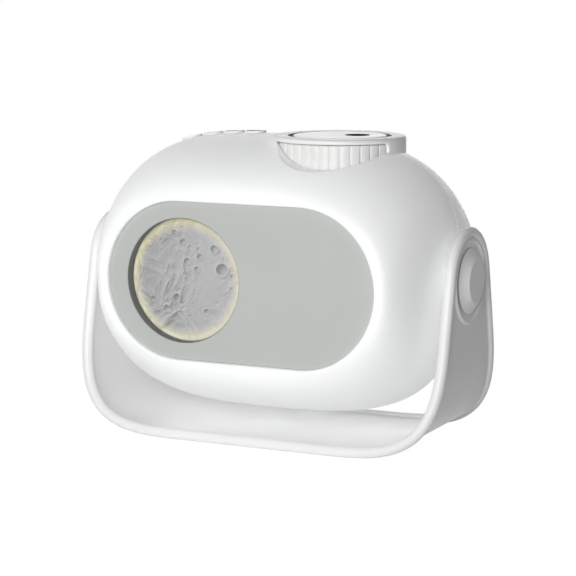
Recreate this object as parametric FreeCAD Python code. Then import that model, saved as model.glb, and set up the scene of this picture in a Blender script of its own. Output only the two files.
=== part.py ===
"""Tabletop planetarium projector: a rounded head that tilts in a U-shaped stand.

Units are millimetres. X runs to the right, the front faces -Y and Z is up. The origin is on the
table, below the middle of the stand. One STEP file is written for each piece.
"""
import FreeCAD
import Part
import math
import os

V = FreeCAD.Vector
AXIS_X = V(1, 0, 0)
AXIS_Y = V(0, 1, 0)
AXIS_Z = V(0, 0, 1)
ORIGIN = V(0, 0, 0)
FAR = 200.0                     # longer than anything on the object
FIT = 0.15                      # gap between moulded pieces that stay together
RUNNING = 0.05                  # radial gap between a shaft and its bush
LOOSE = 0.3                     # gap between a moving piece and the piece it slides or turns on
SLIGHT = 0.2                    # gap between neighbouring pieces of the pivots and the lamp
SOFT_EDGE = 0.5                 # rounding of small outer edges
CUT = 1.0                       # how far a cutter reaches past the surface it cuts

# ---- stand ----
STAND_HALF_WIDTH = 90.0         # rim centre line at the arms
STAND_HALF_DEPTH = 38.4         # rim centre line at the base
ARM_TOP_HALF_DEPTH = 22.3       # rim centre line at the pivot's height
PIVOT_Z = 77.5
RIM_RADIUS = 2.53
RIM_SEAM_TURN = 27.0            # keeps the rim's seam line off the web's faces
PAD_PROUD = 0.3                 # how far the rubber pads lift the rim off the table
WEB_THICKNESS = 2.4
CORNER_WIDTH = 58.6
CORNER_HEIGHT = 60.4
CORNER_POWER = 3.77             # squareness of the soft lower corners
CORNER_STEPS = 14
PAD_LENGTH, PAD_WIDTH = 22.0, 9.0
PAD_X, PAD_Y = 19.0, 28.0
PAD_END_FLAT = 1.0              # straight part left at each end of a pad
LIP_OUTER, LIP_INNER, LIP_PROUD = 18.6, 17.4, 0.8

# ---- head ----
HEAD_Z = 76.6                   # height of the head's middle
HEAD_HALF_WIDTH = 83.5
HEAD_HALF_HEIGHT = 64.0
HEAD_HALF_DEPTH = 51.5
HEAD_POWER, FACE_POWER = 3.2, 2.45      # squareness of the widest section and of the faces
FRONT_PROFILE, REAR_PROFILE = 1.62, 1.5  # roundness from the middle to each face
FRONT_HALF_WIDTH, FRONT_HALF_HEIGHT = 69.6, 39.9
REAR_HALF_WIDTH, REAR_HALF_HEIGHT = 75.0, 37.3
SECTION_POINTS = 48
SECTION_STEPS = 8               # sections from the middle to each face
WALL = 2.4
SEAM_Y = 8.0                    # where the front and rear shells meet
TONGUE_WALL, TONGUE_REACH = 1.2, 3.0

# ---- front panel and moon lamp ----
PANEL_HALF_STRAIGHT, PANEL_RADIUS = 29.96, 36.07
OPENING_EDGE = 1.0              # rounding of the casing around the panel
OPENING_RIM, OPENING_RIM_DEPTH = 1.35, 1.4
PANEL_PLATE, PANEL_FLANGE, PANEL_FLANGE_RIM = 1.5, 1.4, 1.3
MOON_X, MOON_RADIUS = -28.2, 28.5
GASKET_DEPTH, GASKET_WALL = 2.6, 2.3
DIFFUSER_EDGE, DIFFUSER_RISE, DIFFUSER_WALL = 2.0, 2.8, 1.8
REFLECTOR_DEPTH, REFLECTOR_BACK_RADIUS, REFLECTOR_WALL = 18.0, 22.0, 1.5
MOON_BOARD_RADIUS, BOARD_THICKNESS = 23.5, 1.6
MOON_LED_COUNT, MOON_LED_CIRCLE, MOON_LED_SIZE, MOON_LED_HEIGHT = 8, 15.0, 3.5, 1.2

# ---- tower, focus ring and lens ----
TOWER_X = 27.3
TOWER_RADIUS, TOWER_BORE = 30.33, 29.0
TOWER_TOP, TOWER_ROOF, TOWER_BOTTOM = 140.8, 2.4, 116.0
TOWER_EDGE = 1.4                # rounding of the top rim
LEDGE_INNER = 26.5              # ledge inside the tower on which the focus ring turns
LEG_ANGLES, LEG_CIRCLE, LEG_RADIUS = (10, 115, 245), 27.0, 2.2
MOUTH_RADIUS = 23.75            # round opening in the tower's roof
WINDOW_HALF_ANGLE = 69.5        # the front window runs this far to each side
WINDOW_CORNER, WINDOW_EDGE = 2.0, 0.9   # rounding of its upper corners and outer edges
SCOOP_RADIUS, SCOOP_X, SCOOP_Z, SCOOP_DROP = 37.2, 32.1, 163.0, 2.0
SCOOP_FLOOR = 2.0               # thickness of the casing under the scoop
RING_CREST, RING_ROOT, RING_BORE = 28.7, 28.0, 24.2
RING_BOTTOM, RING_FLANGE, FLUTES = 122.0, 3.0, 38
FLUTE_WIDTH = 1.0
LID_RADIUS, LID_THICKNESS = 21.3, 2.2
BARREL_OUTER, BARREL_INNER, BARREL_BOTTOM = 20.0, 18.0, 120.0
LENS_X, LENS_Y = 35.1, 2.3      # the light's own axis, off the tower's centre
APERTURE_RADIUS = 5.15
LENS_RADIUS, LENS_EDGE, LENS_BULGE = 8.0, 2.0, 1.4
CARRIER_TOP, CARRIER_THICKNESS, CARRIER_SEAT = 137.4, 5.0, 1.0

# ---- star film drive ----
PLATE_TOP, PLATE_THICKNESS = 110.0, 2.0
GEAR_BOTTOM, GEAR_HEIGHT, GEAR_MODULE = 111.0, 3.0, 1.0
GEAR_TEETH, PINION_TEETH = 40, 12
TOOTH_RISE, TOOTH_DROP = 0.8, 1.15
TOOTH_ROOT_WIDTH, TOOTH_TIP_WIDTH = 1.55, 0.6
GEAR_INNER = 16.5
FILM_RADIUS, FILM_THICKNESS = 18.3, 0.8
SPINDLE_RADIUS, SPINDLE_FLANGE, SPINDLE_TAIL = 1.5, 4.0, 2.0
BUSH_RADIUS, BUSH_LENGTH = 3.0, 5.0
MOTOR_RADIUS, MOTOR_LENGTH, MOTOR_SHAFT, SHAFT_DEPTH = 6.0, 13.0, 1.0, 4.0
PLATE_LEFT, PLATE_RIGHT = 12.0, 28.9    # reach past the pinion's and the tower's middle
PLATE_FRONT = -28.0

# ---- star light ----
TUBE_OUTER, TUBE_INNER, TUBE_BOTTOM = 11.5, 9.3, 92.0
CONDENSER_Z, CONDENSER_BULGE, CONDENSER_EDGE = 100.0, 2.6, 2.0
STAR_BOARD_RADIUS, STAR_LED_RADIUS, STAR_LED_BASE = 13.0, 2.6, 7.0
SINK_SIZE, SINK_HEIGHT, SINK_BASE, FIN_COUNT, FIN_THICKNESS = 26.0, 22.0, 4.0, 7, 1.4

# ---- push buttons ----
BUTTON_COUNT, BUTTON_PITCH, BUTTON_ROW_X, BUTTON_Y = 4, 11.2, -32.7, 1.5
BUTTON_RADIUS, BUTTON_PROUD, BUTTON_GAP = 4.75, 1.0, 0.25
BUTTON_FLANGE_RADIUS, BUTTON_FLANGE = 5.35, 1.2
BUTTON_TRAVEL, BUTTON_BOARD_Z = 0.6, 124.0
HANGER_RADIUS = 1.5             # pegs that carry the button board
SWITCH_SIZE, SWITCH_HEIGHT, SWITCH_BORE, STEM_RADIUS, STEM_ENTRY = 6.0, 3.5, 1.95, 1.6, 1.2

# ---- pivots ----
HUB_FLANGE_RADIUS, HUB_NECK_RADIUS, HUB_INNER_X = 12.0, 6.9, 75.0
SHOULDER_X = 88.0
JOURNAL_RADIUS = 5.0
SPACER_RADIUS, WASHER_RADIUS, WASHER_THICKNESS = 9.0, 8.7, 0.8
ARM_BUSH_RADIUS = 6.4
KNOB_BASE_RADIUS, KNOB_FACE_RADIUS, KNOB_HEIGHT, KNOB_EDGE = 14.9, 9.8, 3.3, 0.6
PIVOT_SCREW_RADIUS, PIVOT_SCREW_HEAD, PIVOT_SCREW_HEAD_HEIGHT = 1.9, 3.6, 2.2
JOURNAL_PROUD, KNOB_CROWN = 2.0, 0.8

# ---- inner parts ----
CHASSIS_Y, CHASSIS_THICKNESS, CHASSIS_HALF_WIDTH = 16.0, 2.0, 67.0
CHASSIS_BOTTOM, CHASSIS_TOP, CHASSIS_CORNER, CHASSIS_NOTCH = 31.0, 112.5, 12.0, 24.0
MAIN_BOARD_SIZE, MAIN_BOARD_Z = (84.0, 52.0), 74.0
STANDOFF, STANDOFF_RADIUS, BOARD_HOLE, BOARD_HOLE_MARGIN = 2.0, 2.5, 1.0, 4.0
# x, z, width, height and depth of a controller, two drivers and a coil
CHIPS = ((-8, 78, 12, 12, 1.6), (-28, 66, 6, 5, 1.5), (14, 64, 6, 5, 1.5), (26, 82, 8, 8, 4.0))
CELL_RADIUS, CELL_LENGTH, CELL_Y, CELL_Z = 9.2, 65.0, 28.0, 39.0
CELL_GAP, HOLDER_WALL, HOLDER_RISE = 0.1, 2.0, 3.0
BOSS_X, BOSS_Z, BOSS_RADIUS, BOSS_PILOT, SCREW_RADIUS, SCREW_HEAD = 60.0, 29.0, 3.6, 1.3, 1.5, 2.9
PILOT_DEPTH, SCREW_BITE = 14.0, 10.0    # in the front bosses, from the seam
WELL_FLOOR = 12.0               # depth from the seam to the floor of a screw well
SCREW_HEAD_HEIGHT, CROSS_DEPTH, CROSS_HALF_LENGTH, CROSS_HALF_WIDTH = 2.2, 1.0, 1.8, 0.35
SOCKET_Z, SOCKET_WIDTH, SOCKET_HEIGHT, SOCKET_LENGTH = 50.0, 8.9, 3.2, 7.4
SOCKET_RECESS, SOCKET_METAL, SOCKET_FLOOR = 0.6, 0.35, 1.2
SOCKET_TONGUE, SOCKET_TONGUE_RECESS = 3.3, 1.0
SHELF_HALF_WIDTH, SHELF_THICKNESS, USB_BOARD_HALF_WIDTH = 12.0, 2.0, 11.0
VENT_COUNT, VENT_WIDTH, VENT_PITCH, VENT_HEIGHT, VENT_Z = 9, 2.0, 5.0, 14.0, 92.0

# ---- worked out from the dimensions above ----
RIM_Z = RIM_RADIUS + PAD_PROUD
FRONT_Y = -HEAD_HALF_DEPTH
REAR_Y = HEAD_HALF_DEPTH
PANEL_Y = FRONT_Y + WALL                       # the panel's face
PANEL_BACK_Y = PANEL_Y + PANEL_PLATE + PANEL_FLANGE
DIFFUSER_Y = PANEL_BACK_Y + GASKET_DEPTH       # front of the diffuser's rim
REFLECTOR_Y = DIFFUSER_Y + DIFFUSER_EDGE
MOON_BOARD_Y = REFLECTOR_Y + REFLECTOR_DEPTH
WINDOW_Y = -TOWER_RADIUS * math.cos(math.radians(WINDOW_HALF_ANGLE))
ROOF_Z = TOWER_TOP - TOWER_ROOF
PITCH_RADIUS = GEAR_MODULE * GEAR_TEETH / 2
PINION_PITCH = GEAR_MODULE * PINION_TEETH / 2
PINION_X = TOWER_X - PITCH_RADIUS - PINION_PITCH
PLATE_BOTTOM = PLATE_TOP - PLATE_THICKNESS
SINK_TOP = TUBE_BOTTOM - 2 - BOARD_THICKNESS
ARM_FACE_X = STAND_HALF_WIDTH + WEB_THICKNESS / 2
WASHER_X = STAND_HALF_WIDTH - WEB_THICKNESS / 2 - WASHER_THICKNESS - SLIGHT
SWITCH_TOP = BUTTON_BOARD_Z + BOARD_THICKNESS + SWITCH_HEIGHT
CHASSIS_BACK = CHASSIS_Y + CHASSIS_THICKNESS
BOARD_FRONT = CHASSIS_BACK + STANDOFF
CHIP_Y = BOARD_FRONT + BOARD_THICKNESS
WELL_Y = SEAM_Y + WELL_FLOOR


# ---------------------------------------------------------------- small helpers
def box(low, high):
    """A block between two corners."""
    size = [b - a for a, b in zip(low, high)]
    return Part.makeBox(size[0], size[1], size[2], V(*low))


def post(x, y, radius, bottom, top):
    """An upright round bar."""
    return Part.makeCylinder(radius, top - bottom, V(x, y, bottom), AXIS_Z)


def rod_y(x, z, radius, start, end):
    """A round bar along Y."""
    return Part.makeCylinder(radius, end - start, V(x, start, z), AXIS_Y)


def rod_x(radius, start, end, y=0.0, z=PIVOT_Z):
    """A round bar along X, on the tilt axis unless told otherwise."""
    return Part.makeCylinder(radius, end - start, V(start, y, z), AXIS_X)


def ring(x, y, outer, inner, bottom, top):
    """An upright tube."""
    return post(x, y, outer, bottom, top).cut(post(x, y, inner, bottom - CUT, top + CUT))


def join(shapes):
    """Fuse a list of solids into one."""
    whole = shapes[0].multiFuse(shapes[1:]) if len(shapes) > 1 else shapes[0]
    return whole.removeSplitter()


def on_both_sides(shape):
    """The right-hand piece and its mirror image."""
    return {"right": shape, "left": shape.mirror(ORIGIN, AXIS_X)}


def lens(x, y, middle, radius, edge, bulge):
    """A round lens with two spherical faces and a straight edge."""
    sphere_radius = (radius ** 2 + bulge ** 2) / (2 * bulge)
    above = V(x, y, middle + edge / 2 + bulge - sphere_radius)
    below = V(x, y, middle - edge / 2 - bulge + sphere_radius)
    body = post(x, y, radius, middle - edge / 2 - bulge, middle + edge / 2 + bulge)
    return body.common(Part.makeSphere(sphere_radius, above)).common(
        Part.makeSphere(sphere_radius, below))


def save(name, shape):
    """Write one piece to its own file, as plain solids."""
    solids = shape.Solids
    piece = Part.Compound(solids) if len(solids) > 1 else solids[0]
    piece.exportStep("parts/" + name + ".step")
    print(name, len(solids), "solid(s)", round(sum(s.Volume for s in solids)), "mm3")


# ---------------------------------------------------------------- stand
def signed_power(value, power):
    """A power that keeps the sign."""
    return math.copysign(abs(value) ** power, value)


def corner_point(turn, offset=0.0):
    """A point of the stand's lower right corner, moved outwards by an offset."""
    power = 2 / CORNER_POWER
    across, up = math.sin(turn) ** power, math.cos(turn) ** power
    x = STAND_HALF_WIDTH - CORNER_WIDTH * (1 - across)
    z = RIM_Z + CORNER_HEIGHT * (1 - up)
    normal_x = across ** (CORNER_POWER - 1) / CORNER_WIDTH
    normal_z = -up ** (CORNER_POWER - 1) / CORNER_HEIGHT
    length = math.hypot(normal_x, normal_z)
    return x + offset * normal_x / length, z + offset * normal_z / length


def corner_turns():
    """Parameter values along a corner."""
    return [math.pi / 2 * i / CORNER_STEPS for i in range(CORNER_STEPS + 1)]


def arm_taper():
    """Angle of the arms' edges from the vertical."""
    return math.atan((STAND_HALF_DEPTH - ARM_TOP_HALF_DEPTH) / (PIVOT_Z - RIM_Z))


def half_depth(z):
    """Rim centre line's distance from the middle plane at a height."""
    return STAND_HALF_DEPTH - (z - RIM_Z) * math.tan(arm_taper())


def rim_half():
    """The right half of the rim: front base, corner, arm, round top, and back again."""
    front = [V(corner_point(t)[0], -half_depth(corner_point(t)[1]), corner_point(t)[1])
             for t in corner_turns()]
    start = V(0, front[0].y, front[0].z)
    radius = ARM_TOP_HALF_DEPTH * math.cos(arm_taper())
    tangent_z = PIVOT_Z + radius * math.sin(arm_taper())
    arm_end = V(STAND_HALF_WIDTH, -radius * math.cos(arm_taper()), tangent_z)
    top = V(STAND_HALF_WIDTH, 0, PIVOT_Z + radius)
    curve = Part.BSplineCurve()
    curve.interpolate(Points=front, InitialTangent=AXIS_X,
                      FinalTangent=V(0, math.sin(arm_taper()), math.cos(arm_taper())))
    front_edges = [Part.LineSegment(start, front[0]).toShape(), curve.toShape(),
                   Part.LineSegment(front[-1], arm_end).toShape()]
    arch = Part.Arc(arm_end, top, V(arm_end.x, -arm_end.y, arm_end.z)).toShape()
    rear_edges = [edge.mirror(ORIGIN, AXIS_Y) for edge in reversed(front_edges)]
    path = Part.Wire(Part.__sortEdges__(front_edges + [arch] + rear_edges))
    section = Part.makeCircle(RIM_RADIUS, start, AXIS_X)
    section.rotate(start, AXIS_X, RIM_SEAM_TURN)
    return path.makePipeShell([Part.Wire(section)], True, False)


def web():
    """The thin wall of the stand, from one arm through the base to the other."""
    def side(offset):
        return [V(x, 0, z) for x, z in (corner_point(t, offset) for t in corner_turns())]

    def u_edges(offset):
        points = side(offset)
        top = V(points[-1].x, 0, PIVOT_Z + ARM_TOP_HALF_DEPTH)
        curve = Part.BSplineCurve()
        curve.interpolate(Points=points, InitialTangent=AXIS_X, FinalTangent=AXIS_Z)
        left = [V(-p.x, 0, p.z) for p in (points[0], top)]
        arm = Part.LineSegment(points[-1], top).toShape()
        base = Part.LineSegment(left[0], points[0]).toShape()
        corner = curve.toShape()
        mirrored = [edge.mirror(ORIGIN, AXIS_X) for edge in (corner, arm)]
        return mirrored + [base, corner, arm], left[1], top

    outer, outer_left, outer_right = u_edges(WEB_THICKNESS / 2)
    inner, inner_left, inner_right = u_edges(-WEB_THICKNESS / 2)
    ends = [Part.LineSegment(outer_left, inner_left).toShape(),
            Part.LineSegment(outer_right, inner_right).toShape()]
    ribbon = Part.Face(Part.Wire(Part.__sortEdges__(outer + inner + ends)))
    ribbon.translate(V(0, -STAND_HALF_DEPTH, 0))
    return ribbon.extrude(V(0, 2 * STAND_HALF_DEPTH, 0)).common(side_outline())


def side_outline():
    """The stand's outline seen from the side, as a bar along X."""
    radius = ARM_TOP_HALF_DEPTH * math.cos(arm_taper())
    y = radius * math.cos(arm_taper())
    z = PIVOT_Z + radius * math.sin(arm_taper())
    left_foot, right_foot = V(-FAR, -half_depth(0), 0), V(-FAR, half_depth(0), 0)
    left, right, top = V(-FAR, -y, z), V(-FAR, y, z), V(-FAR, 0, PIVOT_Z + radius)
    edges = [Part.LineSegment(left_foot, left).toShape(), Part.Arc(left, top, right).toShape(),
             Part.LineSegment(right, right_foot).toShape(),
             Part.LineSegment(right_foot, left_foot).toShape()]
    return Part.Face(Part.Wire(edges)).extrude(V(2 * FAR, 0, 0))


def stand_frame():
    """One moulding: web, rim all round, and a raised lip about each pivot."""
    half = rim_half()
    lip = rod_x(LIP_OUTER, STAND_HALF_WIDTH, ARM_FACE_X + LIP_PROUD).cut(
        rod_x(LIP_INNER, STAND_HALF_WIDTH - CUT, FAR))
    pieces = [web(), half, half.mirror(ORIGIN, AXIS_X), lip, lip.mirror(ORIGIN, AXIS_X)]
    return join(pieces).cut(rod_x(ARM_BUSH_RADIUS, -FAR, FAR))


def foot_pads():
    """Four rubber pads under the base's web."""
    top = RIM_Z - WEB_THICKNESS / 2
    pads = []
    for side in (-1, 1):
        for end in (-1, 1):
            x, y = side * PAD_X, end * PAD_Y
            pad = box((x - PAD_LENGTH / 2, y - PAD_WIDTH / 2, 0),
                      (x + PAD_LENGTH / 2, y + PAD_WIDTH / 2, top))
            upright = [e for e in pad.Edges if abs(e.Vertexes[0].Z - e.Vertexes[1].Z) > top / 2]
            pads.append(pad.makeFillet((PAD_WIDTH - PAD_END_FLAT) / 2, upright))
    return Part.Compound(pads)


# ---------------------------------------------------------------- head shells
def head_section(turn, inset):
    """One closed outline of the head; turn runs from -90 at the front to 90 at the back."""
    profile = FRONT_PROFILE if turn < 0 else REAR_PROFILE
    toward = signed_power(math.sin(turn), 2 / profile)
    fullness = max(math.cos(turn), 0.0) ** (2 / profile)
    face_width = FRONT_HALF_WIDTH if turn < 0 else REAR_HALF_WIDTH
    face_height = FRONT_HALF_HEIGHT if turn < 0 else REAR_HALF_HEIGHT
    width = face_width + (HEAD_HALF_WIDTH - face_width) * fullness - inset
    height = face_height + (HEAD_HALF_HEIGHT - face_height) * fullness - inset
    y = toward * (HEAD_HALF_DEPTH - inset)
    power = HEAD_POWER + (FACE_POWER - HEAD_POWER) * toward ** 2
    points = []
    for i in range(SECTION_POINTS):
        angle = 2 * math.pi * i / SECTION_POINTS
        across, up = math.cos(angle), math.sin(angle)
        reach = (abs(across) ** power + abs(up) ** power) ** (-1 / power)
        points.append(V(width * reach * across, y, HEAD_Z + height * reach * up))
    curve = Part.BSplineCurve()
    curve.interpolate(Points=points, PeriodicFlag=True,
                      Parameters=[i / SECTION_POINTS for i in range(SECTION_POINTS + 1)])
    return Part.Wire(curve.toShape())


def head_solid(inset):
    """The head's whole form, drawn in from the outer skin by an inset."""
    turns = [math.pi / 2 * i / SECTION_STEPS for i in range(-SECTION_STEPS, SECTION_STEPS + 1)]
    return Part.makeLoft([head_section(turn, inset) for turn in turns], True, False)


def stadium(half_straight, radius, start, end):
    """A bar along Y with a stadium section, centred on the head."""
    def at(x, z):
        return V(x, start, HEAD_Z + z)
    corners = [at(-half_straight, radius), at(half_straight, radius),
               at(half_straight, -radius), at(-half_straight, -radius)]
    edges = [Part.LineSegment(corners[0], corners[1]).toShape(),
             Part.Arc(corners[1], at(half_straight + radius, 0), corners[2]).toShape(),
             Part.LineSegment(corners[2], corners[3]).toShape(),
             Part.Arc(corners[3], at(-half_straight - radius, 0), corners[0]).toShape()]
    return Part.Face(Part.Wire(edges)).extrude(V(0, end - start, 0))


def scoop(grow=0.0):
    """The finger scoop in front of the focus ring: a round cut that dips towards the back."""
    length = FAR / 2
    cutter = Part.makeCylinder(SCOOP_RADIUS + grow, 2 * length,
                               V(SCOOP_X, -length, SCOOP_Z), AXIS_Y)
    cutter.rotate(V(SCOOP_X, 0, SCOOP_Z), AXIS_X, -SCOOP_DROP)
    return cutter.common(box((-FAR, -FAR, 0), (FAR, WINDOW_Y + CUT, FAR)))


def boss_places():
    """Where the four shell screws stand, in X and Z."""
    return [(side * BOSS_X, HEAD_Z + end * BOSS_Z) for side in (-1, 1) for end in (-1, 1)]


def button_places():
    """Where the push buttons stand, in X."""
    first = BUTTON_ROW_X - BUTTON_PITCH * (BUTTON_COUNT - 1) / 2
    return [first + BUTTON_PITCH * i for i in range(BUTTON_COUNT)]


def opening_rim():
    """The casing's edge around the panel, rounded towards the front."""
    start, end = FRONT_Y, FRONT_Y + OPENING_RIM_DEPTH
    rim = stadium(PANEL_HALF_STRAIGHT, PANEL_RADIUS + OPENING_RIM, start, end).cut(
        stadium(PANEL_HALF_STRAIGHT, PANEL_RADIUS, start - CUT, end + CUT))
    reach = PANEL_HALF_STRAIGHT + PANEL_RADIUS + OPENING_RIM / 2
    front_edges = [edge for edge in rim.Edges
                   if all(abs(p.y - start) < 1e-3 and abs(p.x) < reach
                          and abs(p.z - HEAD_Z) < PANEL_RADIUS + OPENING_RIM / 2
                          for p in edge.discretize(5))]
    return rim.makeFillet(OPENING_EDGE, front_edges)


def front_shell(outer, inner):
    """The front half of the casing, with its panel opening, scoop and button holes."""
    shell = outer.cut(inner).cut(box((-FAR, SEAM_Y - FIT, -FAR), (FAR, FAR, FAR)))
    inside = box((-FAR, FRONT_Y, -FAR), (FAR, SEAM_Y - FIT, FAR)).common(outer)
    bosses = [rod_y(x, z, BOSS_RADIUS, FRONT_Y, SEAM_Y - FIT).common(inside)
              for x, z in boss_places()]
    places = button_places()
    for x in (places[0] + BUTTON_PITCH / 2, places[-1] - BUTTON_PITCH / 2):
        hanger = post(x, BUTTON_Y - SWITCH_SIZE, HANGER_RADIUS,
                      BUTTON_BOARD_Z + BOARD_THICKNESS, FAR)
        bosses.append(hanger.common(inside))
    shell = join([shell] + bosses)
    shell = shell.cut(stadium(PANEL_HALF_STRAIGHT, PANEL_RADIUS, FRONT_Y - CUT,
                              PANEL_BACK_Y + FIT))
    shell = shell.cut(stadium(PANEL_HALF_STRAIGHT, PANEL_RADIUS + OPENING_RIM, FRONT_Y - CUT,
                              FRONT_Y + OPENING_RIM_DEPTH)).fuse(opening_rim())
    shell = shell.cut(stadium(PANEL_HALF_STRAIGHT, PANEL_RADIUS + PANEL_FLANGE_RIM + FIT,
                              PANEL_Y + PANEL_PLATE, PANEL_BACK_Y + FIT))
    shell = shell.cut(scoop()).fuse(scoop(SCOOP_FLOOR).cut(scoop()).common(inside))
    shell = shell.cut(post(TOWER_X, 0, TOWER_RADIUS + FIT, TOWER_BOTTOM, FAR))
    for x in places:
        shell = shell.cut(post(x, BUTTON_Y, BUTTON_RADIUS + BUTTON_GAP, BUTTON_BOARD_Z, FAR))
    for x, z in boss_places():
        shell = shell.cut(rod_y(x, z, BOSS_PILOT, SEAM_Y - PILOT_DEPTH, SEAM_Y))
    return shell.cut(rod_x(HUB_NECK_RADIUS + FIT, -FAR, FAR))


def rear_shell(outer, inner):
    """The back half of the casing, with its locating tongue, screw wells, vents and inlet."""
    start = SEAM_Y + FIT
    shell = outer.cut(inner).common(box((-FAR, start, -FAR), (FAR, FAR, FAR)))
    tongue = head_solid(WALL + FIT).cut(head_solid(WALL + FIT + TONGUE_WALL))
    tongue = tongue.common(box((-FAR, SEAM_Y - TONGUE_REACH, -FAR), (FAR, start, FAR)))
    root = inner.cut(head_solid(WALL + FIT + TONGUE_WALL))
    root = root.common(box((-FAR, start, -FAR), (FAR, start + TONGUE_REACH, FAR)))
    wells = [rod_y(x, z, BOSS_RADIUS, start, REAR_Y).common(outer) for x, z in boss_places()]
    shelf_top = SOCKET_Z - SOCKET_HEIGHT / 2 - BOARD_THICKNESS
    shelf_bottom = shelf_top - SHELF_THICKNESS
    shelf = box((-SHELF_HALF_WIDTH, CELL_Y + CELL_RADIUS + HOLDER_WALL, shelf_bottom),
                (SHELF_HALF_WIDTH, REAR_Y - WALL / 2, shelf_top))
    shell = join([shell, tongue, root, shelf] + wells)
    places = button_places()
    shell = shell.cut(box((places[0] - BUTTON_PITCH, 0, BUTTON_BOARD_Z),
                          (places[-1] + BUTTON_PITCH, start, FAR)))
    for x, z in boss_places():
        shell = shell.cut(rod_y(x, z, SCREW_RADIUS + SLIGHT, SEAM_Y, REAR_Y + CUT))
        shell = shell.cut(rod_y(x, z, SCREW_HEAD + FIT, WELL_Y, REAR_Y + CUT))
    shell = shell.cut(post(TOWER_X, 0, TOWER_RADIUS + FIT, TOWER_BOTTOM, FAR))
    shell = shell.cut(rod_x(HUB_FLANGE_RADIUS + FIT, -FAR, FAR))
    for i in range(VENT_COUNT):
        x = (i - (VENT_COUNT - 1) / 2) * VENT_PITCH
        slot = box((x - VENT_WIDTH / 2, WELL_Y, VENT_Z - VENT_HEIGHT / 2),
                   (x + VENT_WIDTH / 2, FAR, VENT_Z + VENT_HEIGHT / 2))
        ends = [rod_y(x, VENT_Z + end * VENT_HEIGHT / 2, VENT_WIDTH / 2, WELL_Y, FAR)
                for end in (-1, 1)]
        shell = shell.cut(join([slot] + ends))
    return shell.cut(socket_bar(SOCKET_WIDTH + 2 * FIT, SOCKET_HEIGHT + 2 * FIT, WELL_Y, FAR))


def socket_bar(width, height, start, end):
    """A flat bar with round edges, the section of the power socket."""
    reach = (width - height) / 2
    middle = box((-reach, start, SOCKET_Z - height / 2), (reach, end, SOCKET_Z + height / 2))
    return join([middle] + [rod_y(side * reach, SOCKET_Z, height / 2, start, end)
                            for side in (-1, 1)])


# ---------------------------------------------------------------- panel and moon lamp
def front_panel():
    """The grey front plate, its hidden flange and the round moon opening."""
    plate = stadium(PANEL_HALF_STRAIGHT, PANEL_RADIUS - FIT, PANEL_Y, PANEL_BACK_Y)
    flange = stadium(PANEL_HALF_STRAIGHT, PANEL_RADIUS + PANEL_FLANGE_RIM,
                     PANEL_Y + PANEL_PLATE, PANEL_BACK_Y)
    return join([plate, flange]).cut(rod_y(MOON_X, HEAD_Z, MOON_RADIUS, PANEL_Y - CUT, 0))


def moon_gasket():
    """Dark light seal between the panel and the moon diffuser."""
    outer = rod_y(MOON_X, HEAD_Z, MOON_RADIUS + GASKET_WALL, PANEL_BACK_Y, DIFFUSER_Y)
    return outer.cut(rod_y(MOON_X, HEAD_Z, MOON_RADIUS, PANEL_BACK_Y - CUT, DIFFUSER_Y + CUT))


def moon_cap(radius, rise, base_y):
    """A dome towards the front that stands on a round base."""
    sphere_radius = (radius ** 2 + rise ** 2) / (2 * rise)
    centre = V(MOON_X, base_y - rise + sphere_radius, HEAD_Z)
    return Part.makeSphere(sphere_radius, centre).common(
        rod_y(MOON_X, HEAD_Z, radius + CUT, base_y - rise - CUT, base_y))


def moon_diffuser():
    """Frosted moon face: a shallow dome with a flat rim, hollow behind."""
    rim = rod_y(MOON_X, HEAD_Z, MOON_RADIUS + GASKET_WALL - SLIGHT, DIFFUSER_Y, REFLECTOR_Y)
    dome = moon_cap(MOON_RADIUS - LOOSE, DIFFUSER_RISE, DIFFUSER_Y)
    hollow = moon_cap(MOON_RADIUS - DIFFUSER_WALL, DIFFUSER_RISE, DIFFUSER_Y + DIFFUSER_WALL)
    well = rod_y(MOON_X, HEAD_Z, MOON_RADIUS - DIFFUSER_WALL, DIFFUSER_Y + DIFFUSER_WALL, 0)
    return join([rim, dome]).cut(hollow).cut(well)


def moon_reflector():
    """White cup that spreads the lamp's light over the diffuser."""
    mouth = MOON_RADIUS + GASKET_WALL - SLIGHT
    base = V(MOON_X, REFLECTOR_Y, HEAD_Z)
    back = REFLECTOR_BACK_RADIUS
    outer = Part.makeCone(mouth, back + REFLECTOR_WALL, REFLECTOR_DEPTH, base, AXIS_Y)
    return outer.cut(Part.makeCone(mouth - REFLECTOR_WALL, back, REFLECTOR_DEPTH, base, AXIS_Y))


def moon_led_board():
    """Round board behind the reflector."""
    return rod_y(MOON_X, HEAD_Z, MOON_BOARD_RADIUS, MOON_BOARD_Y,
                 MOON_BOARD_Y + BOARD_THICKNESS)


def moon_leds():
    """A circle of lamps on the moon board, facing forwards."""
    half = MOON_LED_SIZE / 2
    lamps = []
    for i in range(MOON_LED_COUNT):
        angle = 2 * math.pi * i / MOON_LED_COUNT
        x = MOON_X + MOON_LED_CIRCLE * math.cos(angle)
        z = HEAD_Z + MOON_LED_CIRCLE * math.sin(angle)
        lamps.append(box((x - half, MOON_BOARD_Y - MOON_LED_HEIGHT, z - half),
                         (x + half, MOON_BOARD_Y, z + half)))
    return Part.Compound(lamps)


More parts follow.
